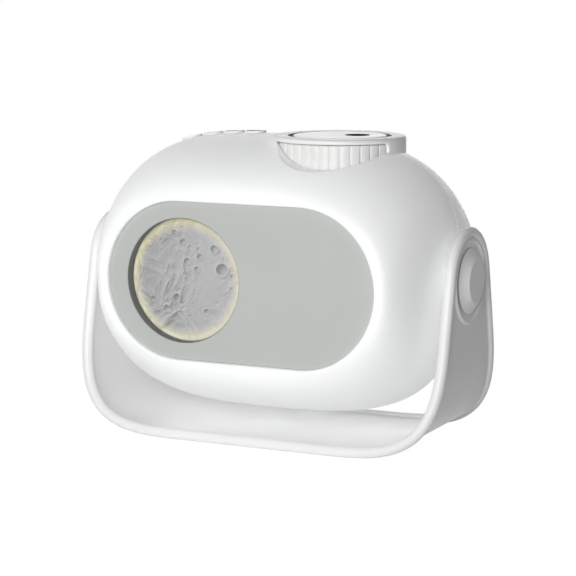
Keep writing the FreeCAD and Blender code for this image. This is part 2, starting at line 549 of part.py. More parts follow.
# ---------------------------------------------------------------- tower and lens
def window():
    """The tower's front opening: a sector with rounded upper corners, down to the scoop."""
    reach = 2 * TOWER_RADIUS
    angle = math.radians(WINDOW_HALF_ANGLE)
    corners = [V(TOWER_X, 0, TOWER_BOTTOM),
               V(TOWER_X - reach * math.sin(angle), -reach * math.cos(angle), TOWER_BOTTOM),
               V(TOWER_X - reach * math.sin(angle), -reach, TOWER_BOTTOM),
               V(TOWER_X + reach * math.sin(angle), -reach, TOWER_BOTTOM),
               V(TOWER_X + reach * math.sin(angle), -reach * math.cos(angle), TOWER_BOTTOM)]
    outline = Part.makePolygon(corners + [corners[0]])
    sector = Part.Face(outline).extrude(V(0, 0, ROOF_Z - TOWER_BOTTOM))
    axis = V(TOWER_X, 0, ROOF_Z)
    upper = [edge for edge in sector.Edges
             if any(v.Point.distanceToPoint(axis) < 1e-6 for v in edge.Vertexes)
             and abs(edge.Vertexes[0].Z - edge.Vertexes[1].Z) < 1e-6]
    return sector.makeFillet(WINDOW_CORNER, upper).common(scoop())


def window_edges(tower):
    """The outer edges at the sides and top of the tower's window."""
    found = []
    for edge in tower.Edges:
        points = edge.discretize(7)
        wide = max(p.x for p in points) - min(p.x for p in points)
        tall = max(p.z for p in points) - min(p.z for p in points)
        on_wall = all(abs(math.hypot(p.x - TOWER_X, p.y) - TOWER_RADIUS) < 1e-3 for p in points)
        below_roof = all(TOWER_BOTTOM < p.z < ROOF_Z + 1e-3 for p in points)
        if on_wall and below_roof and (tall < 1e-3 or wide < WINDOW_CORNER):
            found.append(edge)
    return found


def rim_edges(shape, radius, z):
    """The circular edges of a shape with a given radius at a given height."""
    return [e for e in shape.Edges
            if hasattr(e.Curve, "Radius") and abs(e.Curve.Radius - radius) < 1e-3
            and abs(e.Curve.Center.z - z) < 1e-3 and abs(e.Vertexes[0].Z - z) < 1e-3]


def tower_collar():
    """The round tower: a wide mouth, a wall open at the front, a ledge inside, and legs."""
    body = post(TOWER_X, 0, TOWER_RADIUS, TOWER_BOTTOM, TOWER_TOP)
    body = body.makeFillet(TOWER_EDGE, rim_edges(body, TOWER_RADIUS, TOWER_TOP))
    body = body.cut(post(TOWER_X, 0, TOWER_BORE, TOWER_BOTTOM - CUT, ROOF_Z))
    body = body.cut(post(TOWER_X, 0, MOUTH_RADIUS, ROOF_Z - CUT, FAR))
    body = body.makeFillet(SOFT_EDGE, rim_edges(body, MOUTH_RADIUS, TOWER_TOP))
    body = body.cut(window())
    body = body.makeFillet(WINDOW_EDGE, window_edges(body))
    pieces = [body, ring(TOWER_X, 0, TOWER_BORE + SLIGHT, LEDGE_INNER, TOWER_BOTTOM,
                         RING_BOTTOM - SLIGHT)]
    for angle in LEG_ANGLES:
        x = TOWER_X + LEG_CIRCLE * math.cos(math.radians(angle))
        y = LEG_CIRCLE * math.sin(math.radians(angle))
        pieces.append(post(x, y, LEG_RADIUS, PLATE_TOP, TOWER_BOTTOM + CUT))
    return join(pieces)


def focus_ring():
    """Knurled ring that the fingers turn, with an inner flange that carries the barrel."""
    body = ring(TOWER_X, 0, RING_CREST, RING_BORE, RING_BOTTOM, ROOF_Z - LOOSE)
    for i in range(FLUTES):
        angle = 360.0 * i / FLUTES
        groove = box((TOWER_X + RING_ROOT, -FLUTE_WIDTH / 2, RING_BOTTOM - CUT),
                     (TOWER_X + RING_CREST + CUT, FLUTE_WIDTH / 2, FAR))
        groove.rotate(V(TOWER_X, 0, 0), AXIS_Z, angle)
        body = body.cut(groove)
    flange = ring(TOWER_X, 0, RING_BORE + SLIGHT, BARREL_OUTER + LOOSE, RING_BOTTOM,
                  RING_BOTTOM + RING_FLANGE)
    return join([body, flange])


def lens_barrel():
    """Sliding barrel closed by a white lid with an off-centre light opening."""
    lid = post(TOWER_X, 0, LID_RADIUS, TOWER_TOP - LID_THICKNESS, TOWER_TOP)
    lid = lid.makeFillet(SOFT_EDGE, rim_edges(lid, LID_RADIUS, TOWER_TOP))
    tube = ring(TOWER_X, 0, BARREL_OUTER, BARREL_INNER, BARREL_BOTTOM, TOWER_TOP - LID_THICKNESS)
    body = join([lid, tube]).cut(post(LENS_X, LENS_Y, APERTURE_RADIUS, 0, FAR))
    return body.makeFillet(SOFT_EDGE, rim_edges(body, APERTURE_RADIUS, TOWER_TOP))


def lens_carrier():
    """Black disc inside the barrel that holds the projection lens."""
    disc = post(TOWER_X, 0, BARREL_INNER, CARRIER_TOP - CARRIER_THICKNESS, CARRIER_TOP)
    seat = post(LENS_X, LENS_Y, LENS_RADIUS, CARRIER_TOP - CARRIER_THICKNESS + CARRIER_SEAT, FAR)
    return disc.cut(seat).cut(post(LENS_X, LENS_Y, LENS_RADIUS - CARRIER_SEAT, 0, FAR))


def projection_lens():
    """The lens that throws the stars."""
    middle = CARRIER_TOP - CARRIER_THICKNESS + CARRIER_SEAT + LENS_EDGE
    seat = ring(LENS_X, LENS_Y, LENS_RADIUS + CUT, LENS_RADIUS - CARRIER_SEAT, 0,
                middle - LENS_EDGE)
    return lens(LENS_X, LENS_Y, middle, LENS_RADIUS, LENS_EDGE, LENS_BULGE).cut(seat)


# ---------------------------------------------------------------- star film drive
def toothed_disc(x, teeth, phase):
    """A spur gear as a solid disc."""
    pitch = GEAR_MODULE * teeth / 2
    root, tip = pitch - TOOTH_DROP, pitch + TOOTH_RISE
    start = x + root - SOFT_EDGE
    disc = post(x, 0, root, GEAR_BOTTOM, GEAR_BOTTOM + GEAR_HEIGHT)
    profile = [V(start, -TOOTH_ROOT_WIDTH / 2, GEAR_BOTTOM),
               V(x + tip, -TOOTH_TIP_WIDTH / 2, GEAR_BOTTOM),
               V(x + tip, TOOTH_TIP_WIDTH / 2, GEAR_BOTTOM),
               V(start, TOOTH_ROOT_WIDTH / 2, GEAR_BOTTOM)]
    tooth = Part.Face(Part.makePolygon(profile + [profile[0]])).extrude(V(0, 0, GEAR_HEIGHT))
    wheel = [disc]
    for i in range(teeth):
        turned = tooth.copy()
        turned.rotate(V(x, 0, 0), AXIS_Z, phase + 360.0 * i / teeth)
        wheel.append(turned)
    return join(wheel)


def film_gear():
    """Toothed ring under the edge of the star film."""
    return toothed_disc(TOWER_X, GEAR_TEETH, 0.0).cut(post(TOWER_X, 0, GEAR_INNER, 0, FAR))


def star_film():
    """Clear disc that carries the star pattern, on top of the gear."""
    bottom = GEAR_BOTTOM + GEAR_HEIGHT
    return ring(TOWER_X, 0, FILM_RADIUS, SPINDLE_RADIUS, bottom, bottom + FILM_THICKNESS)


def film_spindle():
    """Shaft on which the film turns, with a flange under it and a cap over it."""
    film_bottom = GEAR_BOTTOM + GEAR_HEIGHT
    film_top = film_bottom + FILM_THICKNESS
    return join([post(TOWER_X, 0, SPINDLE_RADIUS, PLATE_BOTTOM - SPINDLE_TAIL, film_top),
                 post(TOWER_X, 0, SPINDLE_FLANGE, film_bottom - 1, film_bottom),
                 post(TOWER_X, 0, SPINDLE_FLANGE - 1, film_top, film_top + 1)])


def spindle_bush():
    """Bronze-coloured bush in the optics plate."""
    return ring(TOWER_X, 0, BUSH_RADIUS, SPINDLE_RADIUS + RUNNING, PLATE_TOP - BUSH_LENGTH,
                PLATE_TOP)


def drive_pinion():
    """Small gear on the motor's shaft."""
    wheel = toothed_disc(PINION_X, PINION_TEETH, 180.0 / PINION_TEETH)
    return join([wheel, post(PINION_X, 0, MOTOR_SHAFT, PLATE_BOTTOM - SHAFT_DEPTH,
                             GEAR_BOTTOM + GEAR_HEIGHT / 2)])


def film_motor():
    """Small motor that hangs under the optics plate."""
    body = post(PINION_X, 0, MOTOR_RADIUS, PLATE_BOTTOM - MOTOR_LENGTH, PLATE_BOTTOM)
    return body.cut(post(PINION_X, 0, MOTOR_SHAFT + RUNNING,
                         PLATE_BOTTOM - SHAFT_DEPTH - LOOSE, FAR))


def optics_plate():
    """Shelf that carries the tower, the film drive and the light tube."""
    plate = box((PINION_X - PLATE_LEFT, PLATE_FRONT, PLATE_BOTTOM),
                (TOWER_X + PLATE_RIGHT, CHASSIS_Y, PLATE_TOP))
    light_hole = post(LENS_X, LENS_Y, TUBE_INNER - 1, 0, FAR)
    bush_hole = post(TOWER_X, 0, BUSH_RADIUS, 0, FAR)
    shaft_hole = post(PINION_X, 0, MOTOR_SHAFT + LOOSE, 0, FAR)
    return plate.cut(light_hole).cut(bush_hole).cut(shaft_hole)


# ---------------------------------------------------------------- star light
def light_tube():
    """Black tube between the lamp and the film."""
    tube = ring(LENS_X, LENS_Y, TUBE_OUTER, TUBE_INNER, TUBE_BOTTOM, PLATE_BOTTOM)
    return tube.cut(post(TOWER_X, 0, BUSH_RADIUS + FIT, PLATE_TOP - BUSH_LENGTH - CUT, FAR))


def condenser_lens():
    """Thick lens that gathers the lamp's light."""
    return lens(LENS_X, LENS_Y, CONDENSER_Z, TUBE_INNER, CONDENSER_EDGE, CONDENSER_BULGE)


def star_led_board():
    """Round board on the heat sink, with a raised ring that seats the light tube."""
    disc = post(LENS_X, LENS_Y, STAR_BOARD_RADIUS, SINK_TOP, SINK_TOP + BOARD_THICKNESS)
    seat = ring(LENS_X, LENS_Y, TUBE_OUTER, TUBE_INNER, SINK_TOP + BOARD_THICKNESS, TUBE_BOTTOM)
    return join([disc, seat])


def star_led():
    """The bright lamp under the condenser."""
    base = SINK_TOP + BOARD_THICKNESS
    half = STAR_LED_BASE / 2
    square = box((LENS_X - half, LENS_Y - half, base), (LENS_X + half, LENS_Y + half, base + 1))
    dome = Part.makeSphere(STAR_LED_RADIUS, V(LENS_X, LENS_Y, base + 1)).common(
        post(LENS_X, LENS_Y, STAR_LED_RADIUS + CUT, base, base + 1 + STAR_LED_RADIUS))
    return join([square, dome])


def heat_sink():
    """Finned block under the lamp's board."""
    half = SINK_SIZE / 2
    bottom = SINK_TOP - SINK_HEIGHT
    pieces = [box((LENS_X - half, LENS_Y - half, SINK_TOP - SINK_BASE),
                  (LENS_X + half, LENS_Y + half, SINK_TOP))]
    for i in range(FIN_COUNT):
        x = LENS_X - half + (SINK_SIZE - FIN_THICKNESS) * i / (FIN_COUNT - 1)
        pieces.append(box((x, LENS_Y - half, bottom),
                          (x + FIN_THICKNESS, LENS_Y + half, SINK_TOP - SINK_BASE / 2)))
    return join(pieces)


# ---------------------------------------------------------------- push buttons
def button_cap(x, proud, seat, underside):
    """A round cap that follows the casing, with a retaining flange and a stem."""
    head = post(x, BUTTON_Y, BUTTON_RADIUS, BUTTON_BOARD_Z, FAR).common(proud)
    flange = post(x, BUTTON_Y, BUTTON_FLANGE_RADIUS, BUTTON_BOARD_Z, FAR).common(seat)
    stem = post(x, BUTTON_Y, STEM_RADIUS, SWITCH_TOP - STEM_ENTRY, FAR).common(seat)
    return join([join([head, flange]).cut(underside), stem])


def button_board():
    """Board under the row of buttons."""
    places = button_places()
    margin = SWITCH_SIZE
    return box((places[0] - margin, BUTTON_Y - margin - 2, BUTTON_BOARD_Z),
               (places[-1] + margin, BUTTON_Y + margin - 1, BUTTON_BOARD_Z + BOARD_THICKNESS))


def button_switches():
    """Four switch bodies on the board, each with a bore for its button's stem."""
    half = SWITCH_SIZE / 2
    bottom = BUTTON_BOARD_Z + BOARD_THICKNESS
    bodies = []
    for x in button_places():
        body = box((x - half, BUTTON_Y - half, bottom), (x + half, BUTTON_Y + half, SWITCH_TOP))
        bore_bottom = SWITCH_TOP - STEM_ENTRY - 2 * BUTTON_TRAVEL
        bodies.append(body.cut(post(x, BUTTON_Y, SWITCH_BORE, bore_bottom, FAR)))
    return Part.Compound(bodies)


# ---------------------------------------------------------------- pivots
def pivot_hub(inner):
    """Right-hand hub: a flange inside the casing, a neck and a journal for the arm."""
    flange = rod_x(HUB_FLANGE_RADIUS, HUB_INNER_X, FAR).common(inner)
    neck = rod_x(HUB_NECK_RADIUS, HUB_INNER_X, SHOULDER_X)
    journal = rod_x(JOURNAL_RADIUS, HUB_INNER_X, ARM_FACE_X + JOURNAL_PROUD)
    return join([flange, neck, journal]).cut(rod_x(PIVOT_SCREW_RADIUS, 0, FAR))


def pivot_spacer(outer):
    """Right-hand collar between the casing and the arm, fitted to the curved side."""
    collar = rod_x(SPACER_RADIUS, HEAD_HALF_WIDTH - 4, WASHER_X)
    return collar.cut(rod_x(HUB_NECK_RADIUS + FIT, 0, FAR)).cut(outer)


def pivot_washer():
    """Right-hand friction washer."""
    return rod_x(WASHER_RADIUS, WASHER_X, WASHER_X + WASHER_THICKNESS).cut(
        rod_x(HUB_NECK_RADIUS + FIT, 0, FAR))


def arm_bush():
    """Right-hand bush in the arm, around the journal."""
    return rod_x(ARM_BUSH_RADIUS, STAND_HALF_WIDTH - WEB_THICKNESS / 2, ARM_FACE_X).cut(
        rod_x(JOURNAL_RADIUS + RUNNING, 0, FAR))


def pivot_knob():
    """Right-hand cap with a conical flank, pressed on the journal."""
    start = ARM_FACE_X + SLIGHT
    cap = Part.makeCone(KNOB_BASE_RADIUS, KNOB_FACE_RADIUS, KNOB_HEIGHT, V(start, 0, PIVOT_Z),
                        AXIS_X)
    face_edge = [e for e in cap.Edges if hasattr(e.Curve, "Radius")
                 and abs(e.Curve.Radius - KNOB_FACE_RADIUS) < 1e-3]
    cap = cap.makeFillet(KNOB_EDGE, face_edge)
    cap = cap.cut(rod_x(JOURNAL_RADIUS, 0, ARM_FACE_X + JOURNAL_PROUD))
    return cap.cut(rod_x(PIVOT_SCREW_RADIUS, 0, start + KNOB_HEIGHT - KNOB_CROWN))


def pivot_screw():
    """Right-hand screw that draws the knob and the hub together."""
    end = ARM_FACE_X + KNOB_HEIGHT - KNOB_CROWN
    return join([rod_x(PIVOT_SCREW_RADIUS, HUB_INNER_X - 1, end),
                 rod_x(PIVOT_SCREW_HEAD, HUB_INNER_X - PIVOT_SCREW_HEAD_HEIGHT, HUB_INNER_X)])


# ---------------------------------------------------------------- chassis, boards and power
def inner_chassis():
    """Upright plate behind the seam; the screw wells of the rear shell pass through it."""
    plate = box((-CHASSIS_HALF_WIDTH, CHASSIS_Y, CHASSIS_BOTTOM),
                (CHASSIS_HALF_WIDTH, CHASSIS_BACK, CHASSIS_TOP))
    corners = [e for e in plate.Edges
               if abs(e.Vertexes[0].Y - e.Vertexes[1].Y) > CHASSIS_THICKNESS / 2]
    plate = plate.makeFillet(CHASSIS_CORNER, corners)
    plate = plate.cut(box((TOWER_X - CHASSIS_NOTCH, 0, PLATE_TOP),
                          (TOWER_X + CHASSIS_NOTCH, FAR, FAR)))
    for x, z in boss_places():
        plate = plate.cut(rod_y(x, z, BOSS_RADIUS + FIT, 0, FAR))
    standoffs = [rod_y(x, z, STANDOFF_RADIUS, CHASSIS_BACK, BOARD_FRONT)
                 for x, z in board_holes()]
    chassis = join([plate] + standoffs)
    for x, z in board_holes():
        chassis = chassis.cut(rod_y(x, z, BOARD_HOLE, 0, FAR))
    return chassis


def board_holes():
    """The main board's four corner holes, in X and Z."""
    reach_x = MAIN_BOARD_SIZE[0] / 2 - BOARD_HOLE_MARGIN
    reach_z = MAIN_BOARD_SIZE[1] / 2 - BOARD_HOLE_MARGIN
    return [(a * reach_x, MAIN_BOARD_Z + b * reach_z) for a in (-1, 1) for b in (-1, 1)]


def main_board():
    """The control board on the chassis."""
    half_x, half_z = MAIN_BOARD_SIZE[0] / 2, MAIN_BOARD_SIZE[1] / 2
    board = box((-half_x, BOARD_FRONT, MAIN_BOARD_Z - half_z),
                (half_x, CHIP_Y, MAIN_BOARD_Z + half_z))
    for x, z in board_holes():
        board = board.cut(rod_y(x, z, BOARD_HOLE, 0, FAR))
    return board


def board_chips():
    """Controller, two drivers and a coil on the main board."""
    return Part.Compound([box((x - width / 2, CHIP_Y, z - height / 2),
                              (x + width / 2, CHIP_Y + depth, z + height / 2))
                          for x, z, width, height, depth in CHIPS])


def board_screws():
    """Four small screws that hold the main board."""
    screws = []
    for x, z in board_holes():
        shank = rod_y(x, z, BOARD_HOLE, CHASSIS_Y + SOFT_EDGE, CHIP_Y + SOFT_EDGE)
        head = rod_y(x, z, 2 * BOARD_HOLE, CHIP_Y, CHIP_Y + 1.4 * BOARD_HOLE)
        screws.append(join([shank, head]))
    return Part.Compound(screws)


def battery_cell():
    """Rechargeable cell, lying across the back."""
    return rod_x(CELL_RADIUS, -CELL_LENGTH / 2, CELL_LENGTH / 2, CELL_Y, CELL_Z)


def battery_holder(room):
    """Open tray with end walls that holds the cell against the chassis, inside a given room."""
    half = CELL_LENGTH / 2 + CELL_GAP
    block = box((-half - HOLDER_WALL, CHASSIS_BACK, CELL_Z - CELL_RADIUS - HOLDER_WALL),
                (half + HOLDER_WALL, CELL_Y + CELL_RADIUS + 1, CELL_Z + HOLDER_RISE))
    bed = rod_x(CELL_RADIUS + CELL_GAP, -half, half, CELL_Y, CELL_Z)
    mouth = box((-half, CELL_Y - CELL_RADIUS, CELL_Z), (half, CELL_Y + CELL_RADIUS, FAR))
    return block.common(room).cut(bed).cut(mouth)


def usb_board():
    """Small board that carries the power socket, on a shelf of the rear shell."""
    top = SOCKET_Z - SOCKET_HEIGHT / 2
    return box((-USB_BOARD_HALF_WIDTH, CELL_Y + CELL_RADIUS - 1, top - BOARD_THICKNESS),
               (USB_BOARD_HALF_WIDTH, REAR_Y - WALL - FIT, top))


def usb_socket():
    """Metal shell of the power socket with its inner tongue."""
    end = REAR_Y - SOCKET_RECESS
    start = end - SOCKET_LENGTH
    shell = socket_bar(SOCKET_WIDTH, SOCKET_HEIGHT, start, end)
    hollow = socket_bar(SOCKET_WIDTH - 2 * SOCKET_METAL, SOCKET_HEIGHT - 2 * SOCKET_METAL,
                        start + SOCKET_FLOOR, REAR_Y)
    tongue = box((-SOCKET_TONGUE, start, SOCKET_Z - SOCKET_METAL),
                 (SOCKET_TONGUE, end - SOCKET_TONGUE_RECESS, SOCKET_Z + SOCKET_METAL))
    return join([shell.cut(hollow), tongue])


def shell_screws():
    """Four screws that close the casing from the back."""
    head_end = WELL_Y + SCREW_HEAD_HEIGHT
    start = head_end - CROSS_DEPTH
    screws = []
    for x, z in boss_places():
        shank = rod_y(x, z, BOSS_PILOT, SEAM_Y - SCREW_BITE, WELL_Y)
        head = rod_y(x, z, SCREW_HEAD, WELL_Y, head_end)
        level = box((x - CROSS_HALF_LENGTH, start, z - CROSS_HALF_WIDTH),
                    (x + CROSS_HALF_LENGTH, FAR, z + CROSS_HALF_WIDTH))
        upright = box((x - CROSS_HALF_WIDTH, start, z - CROSS_HALF_LENGTH),
                      (x + CROSS_HALF_WIDTH, FAR, z + CROSS_HALF_LENGTH))
        screws.append(join([shank, head]).cut(level).cut(upright))
    return Part.Compound(screws)


# ---------------------------------------------------------------- the whole object
def main():
    """Build every piece and write it out."""
    os.makedirs("parts", exist_ok=True)
    outer, inner = head_solid(0.0), head_solid(WALL)
    proud = head_solid(-BUTTON_PROUD)
    seat = head_solid(WALL + LOOSE)
    underside = head_solid(WALL + LOOSE + BUTTON_FLANGE)

    pieces = {
        "stand_frame": stand_frame(), "foot_pads": foot_pads(),
        "front_shell": front_shell(outer, inner), "rear_shell": rear_shell(outer, inner),
        "front_panel": front_panel(), "moon_gasket": moon_gasket(),
        "moon_diffuser": moon_diffuser(), "moon_reflector": moon_reflector(),
        "moon_led_board": moon_led_board(), "moon_leds": moon_leds(),
        "tower_collar": tower_collar(), "focus_ring": focus_ring(),
        "lens_barrel": lens_barrel(), "lens_carrier": lens_carrier(),
        "projection_lens": projection_lens(), "film_gear": film_gear(),
        "star_film": star_film(), "film_spindle": film_spindle(),
        "spindle_bush": spindle_bush(), "drive_pinion": drive_pinion(),
        "film_motor": film_motor(), "optics_plate": optics_plate(),
        "light_tube": light_tube(), "condenser_lens": condenser_lens(),
        "star_led_board": star_led_board(), "star_led": star_led(), "heat_sink": heat_sink(),
        "button_board": button_board(), "button_switches": button_switches(),
        "inner_chassis": inner_chassis(), "main_board": main_board(),
        "board_chips": board_chips(), "board_screws": board_screws(),
        "battery_cell": battery_cell(), "battery_holder": battery_holder(seat),
        "usb_board": usb_board(), "usb_socket": usb_socket(), "shell_screws": shell_screws(),
    }
    for number, x in enumerate(button_places(), 1):
        pieces["button_cap_%d" % number] = button_cap(x, proud, seat, underside)
    paired = {"pivot_hub": pivot_hub(inner), "pivot_spacer": pivot_spacer(outer),
              "pivot_washer": pivot_washer(), "arm_bush": arm_bush(),
              "pivot_knob": pivot_knob(), "pivot_screw": pivot_screw()}
    for name, shape in paired.items():
        for side, piece in on_both_sides(shape).items():
            pieces[name + "_" + side] = piece
    for name, shape in pieces.items():
        save(name, shape)


main()
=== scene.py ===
"""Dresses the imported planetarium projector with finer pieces, finishes, soft lamps and a camera."""
import math
import random

import bmesh
import bpy
from bpy.props import FloatProperty, FloatVectorProperty, IntProperty, PointerProperty
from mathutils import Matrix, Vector, noise


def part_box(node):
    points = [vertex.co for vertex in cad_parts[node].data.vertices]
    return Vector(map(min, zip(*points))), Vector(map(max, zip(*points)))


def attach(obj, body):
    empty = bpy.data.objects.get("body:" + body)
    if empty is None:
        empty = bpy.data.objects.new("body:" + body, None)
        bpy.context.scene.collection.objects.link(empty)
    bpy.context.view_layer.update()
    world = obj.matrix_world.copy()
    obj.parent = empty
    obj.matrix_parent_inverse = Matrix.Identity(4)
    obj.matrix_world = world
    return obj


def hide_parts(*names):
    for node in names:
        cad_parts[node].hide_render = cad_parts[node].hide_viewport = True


bl_info = {
    "name": "Planetarium projector dresser",
    "version": (1, 1, 0),
    "blender": (4, 5, 0),
    "location": "3D View > Sidebar > Projector",
    "description": "Finer pieces and finishes for a tabletop planetarium projector",
    "category": "Object",
}

MM = 0.001
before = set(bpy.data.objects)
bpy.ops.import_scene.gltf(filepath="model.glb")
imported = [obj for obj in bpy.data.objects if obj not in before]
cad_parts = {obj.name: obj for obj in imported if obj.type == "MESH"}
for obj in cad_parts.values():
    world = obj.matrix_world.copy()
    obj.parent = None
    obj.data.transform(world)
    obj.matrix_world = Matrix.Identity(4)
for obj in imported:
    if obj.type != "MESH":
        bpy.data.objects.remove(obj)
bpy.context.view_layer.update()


# ---------------------------------------------------------------- places taken from the frame
def middle(node):
    """Middle of a node's box, in metres."""
    low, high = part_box(node)
    return (low + high) / 2


def half_size(node):
    """Half of a node's box, in metres."""
    low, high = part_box(node)
    return (high - low) / 2


# ---------------------------------------------------------------- mesh helpers
def new_mesh(name, vertices, faces, crease=None):
    """A smooth closed mesh whose faces point outwards; edges past an angle stay sharp."""
    mesh = bpy.data.meshes.new(name)
    mesh.from_pydata([tuple(v) for v in vertices], [], faces)
    work = bmesh.new()
    work.from_mesh(mesh)
    bmesh.ops.recalc_face_normals(work, faces=work.faces[:])
    work.to_mesh(mesh)
    work.free()
    mesh.polygons.foreach_set("use_smooth", [True] * len(mesh.polygons))
    if crease is not None:
        mesh.set_sharp_from_angle(angle=math.radians(crease))
    mesh.update()
    return mesh


def placed(name, data):
    """A new object in the scene."""
    made = bpy.data.objects.new(name, data)
    bpy.context.scene.collection.objects.link(made)
    return made


def settle(name, mesh, body, slot, *replaced):
    """Place a mesh as a piece that rides on a body and stands for the nodes it replaces."""
    mesh.materials.clear()
    mesh.materials.append(finish_of(slot))
    mesh.polygons.foreach_set("material_index", [0] * len(mesh.polygons))
    piece = placed(name, mesh)
    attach(piece, body)
    if replaced:
        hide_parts(*replaced)


def turned(profile, steps, place, closed=False):
    """Vertices and faces of a profile turned about an axis; radius zero makes a pole."""
    vertices, rows = [], []
    for radius, along in profile:
        if radius == 0:
            rows.append([len(vertices)])
            vertices.append(place(0.0, 0.0, along))
        else:
            rows.append(list(range(len(vertices), len(vertices) + steps)))
            for i in range(steps):
                angle = 2 * math.pi * i / steps
                vertices.append(place(radius * math.cos(angle), radius * math.sin(angle), along))
    return vertices, bridge(rows, closed)


def bridge(rows, closed=False):
    """Faces between rows of vertices that run round an axis."""
    faces = []
    for low, high in zip(rows, rows[1:] + rows[:1] if closed else rows[1:]):
        count = max(len(low), len(high))
        for i in range(count):
            j = (i + 1) % count
            corner = [low[i % len(low)], low[j % len(low)], high[j % len(high)],
                      high[i % len(high)]]
            face = [v for k, v in enumerate(corner) if v not in corner[:k]]
            if len(face) > 2:
                faces.append(face)
    return faces


def by_angle(loop, vertices, pivot, across, up):
    """A loop of vertex numbers ordered by angle about a pivot, with the angles."""
    def angle(i):
        return math.atan2(vertices[i][up] - pivot[up], vertices[i][across] - pivot[across])
    return sorted((angle(i), i) for i in loop)


def join_loops(outer, inner):
    """Triangles between two loops that both run once round the same pivot."""
    outer, inner = (loop + [(loop[0][0] + 2 * math.pi, loop[0][1])] for loop in (outer, inner))
    faces, i, j = [], 0, 0
    while i < len(outer) - 1 or j < len(inner) - 1:
        a, b = outer[i], inner[j]
        if j == len(inner) - 1 or (i < len(outer) - 1 and a[0] <= b[0]):
            i += 1
            faces.append((a[1], outer[i][1], b[1]))
        else:
            j += 1
            faces.append((a[1], inner[j][1], b[1]))
    return faces


def section_at(points, radius=0, along=0):
    """Points of a profile, in millimetres from the given radius and place, in metres."""
    return [(radius + a * MM, along + b * MM) for a, b in points]


def clamped(value):
    """A value held between zero and one."""
    return max(0.0, min(1.0, value))


class Nodes:
    """A node tree and the means to add to it."""

    def __init__(self, tree):
        self.tree = tree

    def node(self, kind, *sources, **values):
        """A new node: its first sockets take the sources, and the rest is set by name."""
        made = self.tree.nodes.new(kind)
        for name, value in values.items():
            if name in made.bl_rna.properties.keys():
                setattr(made, name, value)
            else:
                self.feed(made.inputs[name.replace("_", " ")], value)
        for socket, source in zip(made.inputs, sources):
            self.feed(socket, source)
        return made

    def feed(self, socket, source):
        """Link an output to a socket, or set the socket's value."""
        if isinstance(source, bpy.types.NodeSocket):
            self.tree.links.new(source, socket)
        else:
            socket.default_value = source

    def math(self, operation, *sources):
        """The result of one sum on numbers."""
        return self.node("ShaderNodeMath", *sources, operation=operation).outputs[0]

    def vector_math(self, operation, *sources, **named):
        """The result of one sum on vectors."""
        made = self.node("ShaderNodeVectorMath", *sources, operation=operation, **named)
        return made.outputs[1] if operation == "LENGTH" else made.outputs[0]


class GeometryTree(Nodes):
    """A geometry node tree with named inputs, from a source mesh to a finished one."""

    def __init__(self, name, **inputs):
        super().__init__(bpy.data.node_groups.new(name, "GeometryNodeTree"))
        sockets = self.tree.interface
        sockets.new_socket("Geometry", in_out="INPUT", socket_type="NodeSocketGeometry")
        self.values = {}
        for label, value in inputs.items():
            kind = "Int" if isinstance(value, int) else "Float"
            kind = "Vector" if isinstance(value, Vector) else kind
            socket = sockets.new_socket(label.replace("_", " ").capitalize(), in_out="INPUT",
                                        socket_type="NodeSocket" + kind)
            self.values[socket.identifier] = value
        sockets.new_socket("Geometry", in_out="OUTPUT", socket_type="NodeSocketGeometry")
        self.inputs = self.node("NodeGroupInput").outputs

    def finished(self, geometry, source, slot):
        """The plain mesh that the tree makes of the source, in the finish of a slot."""
        solid = self.node("GeometryNodeRealizeInstances", geometry)
        coated = self.node("GeometryNodeSetMaterial", solid.outputs[0], Material=finish_of(slot))
        self.node("NodeGroupOutput", coated.outputs[0])
        carrier = placed(source.name, source)
        modifier = carrier.modifiers.new(self.tree.name, "NODES")
        modifier.node_group = self.tree
        for identifier, value in self.values.items():
            modifier[identifier] = tuple(value) if isinstance(value, Vector) else value
        graph = bpy.context.evaluated_depsgraph_get()
        plain = bpy.data.meshes.new_from_object(carrier.evaluated_get(graph))
        carrier.modifiers.remove(modifier)
        bpy.data.objects.remove(carrier)
        return plain


# ---------------------------------------------------------------- material helpers
def linear(colour):
    """A display colour, 0 to 255, as linear light."""
    return tuple(c / 255 / 12.92 if c <= 10.3 else ((c / 255 + 0.055) / 1.055) ** 2.4
                 for c in colour) + (1.0,)


FINISHES = {}                   # every finish by the name of its slot


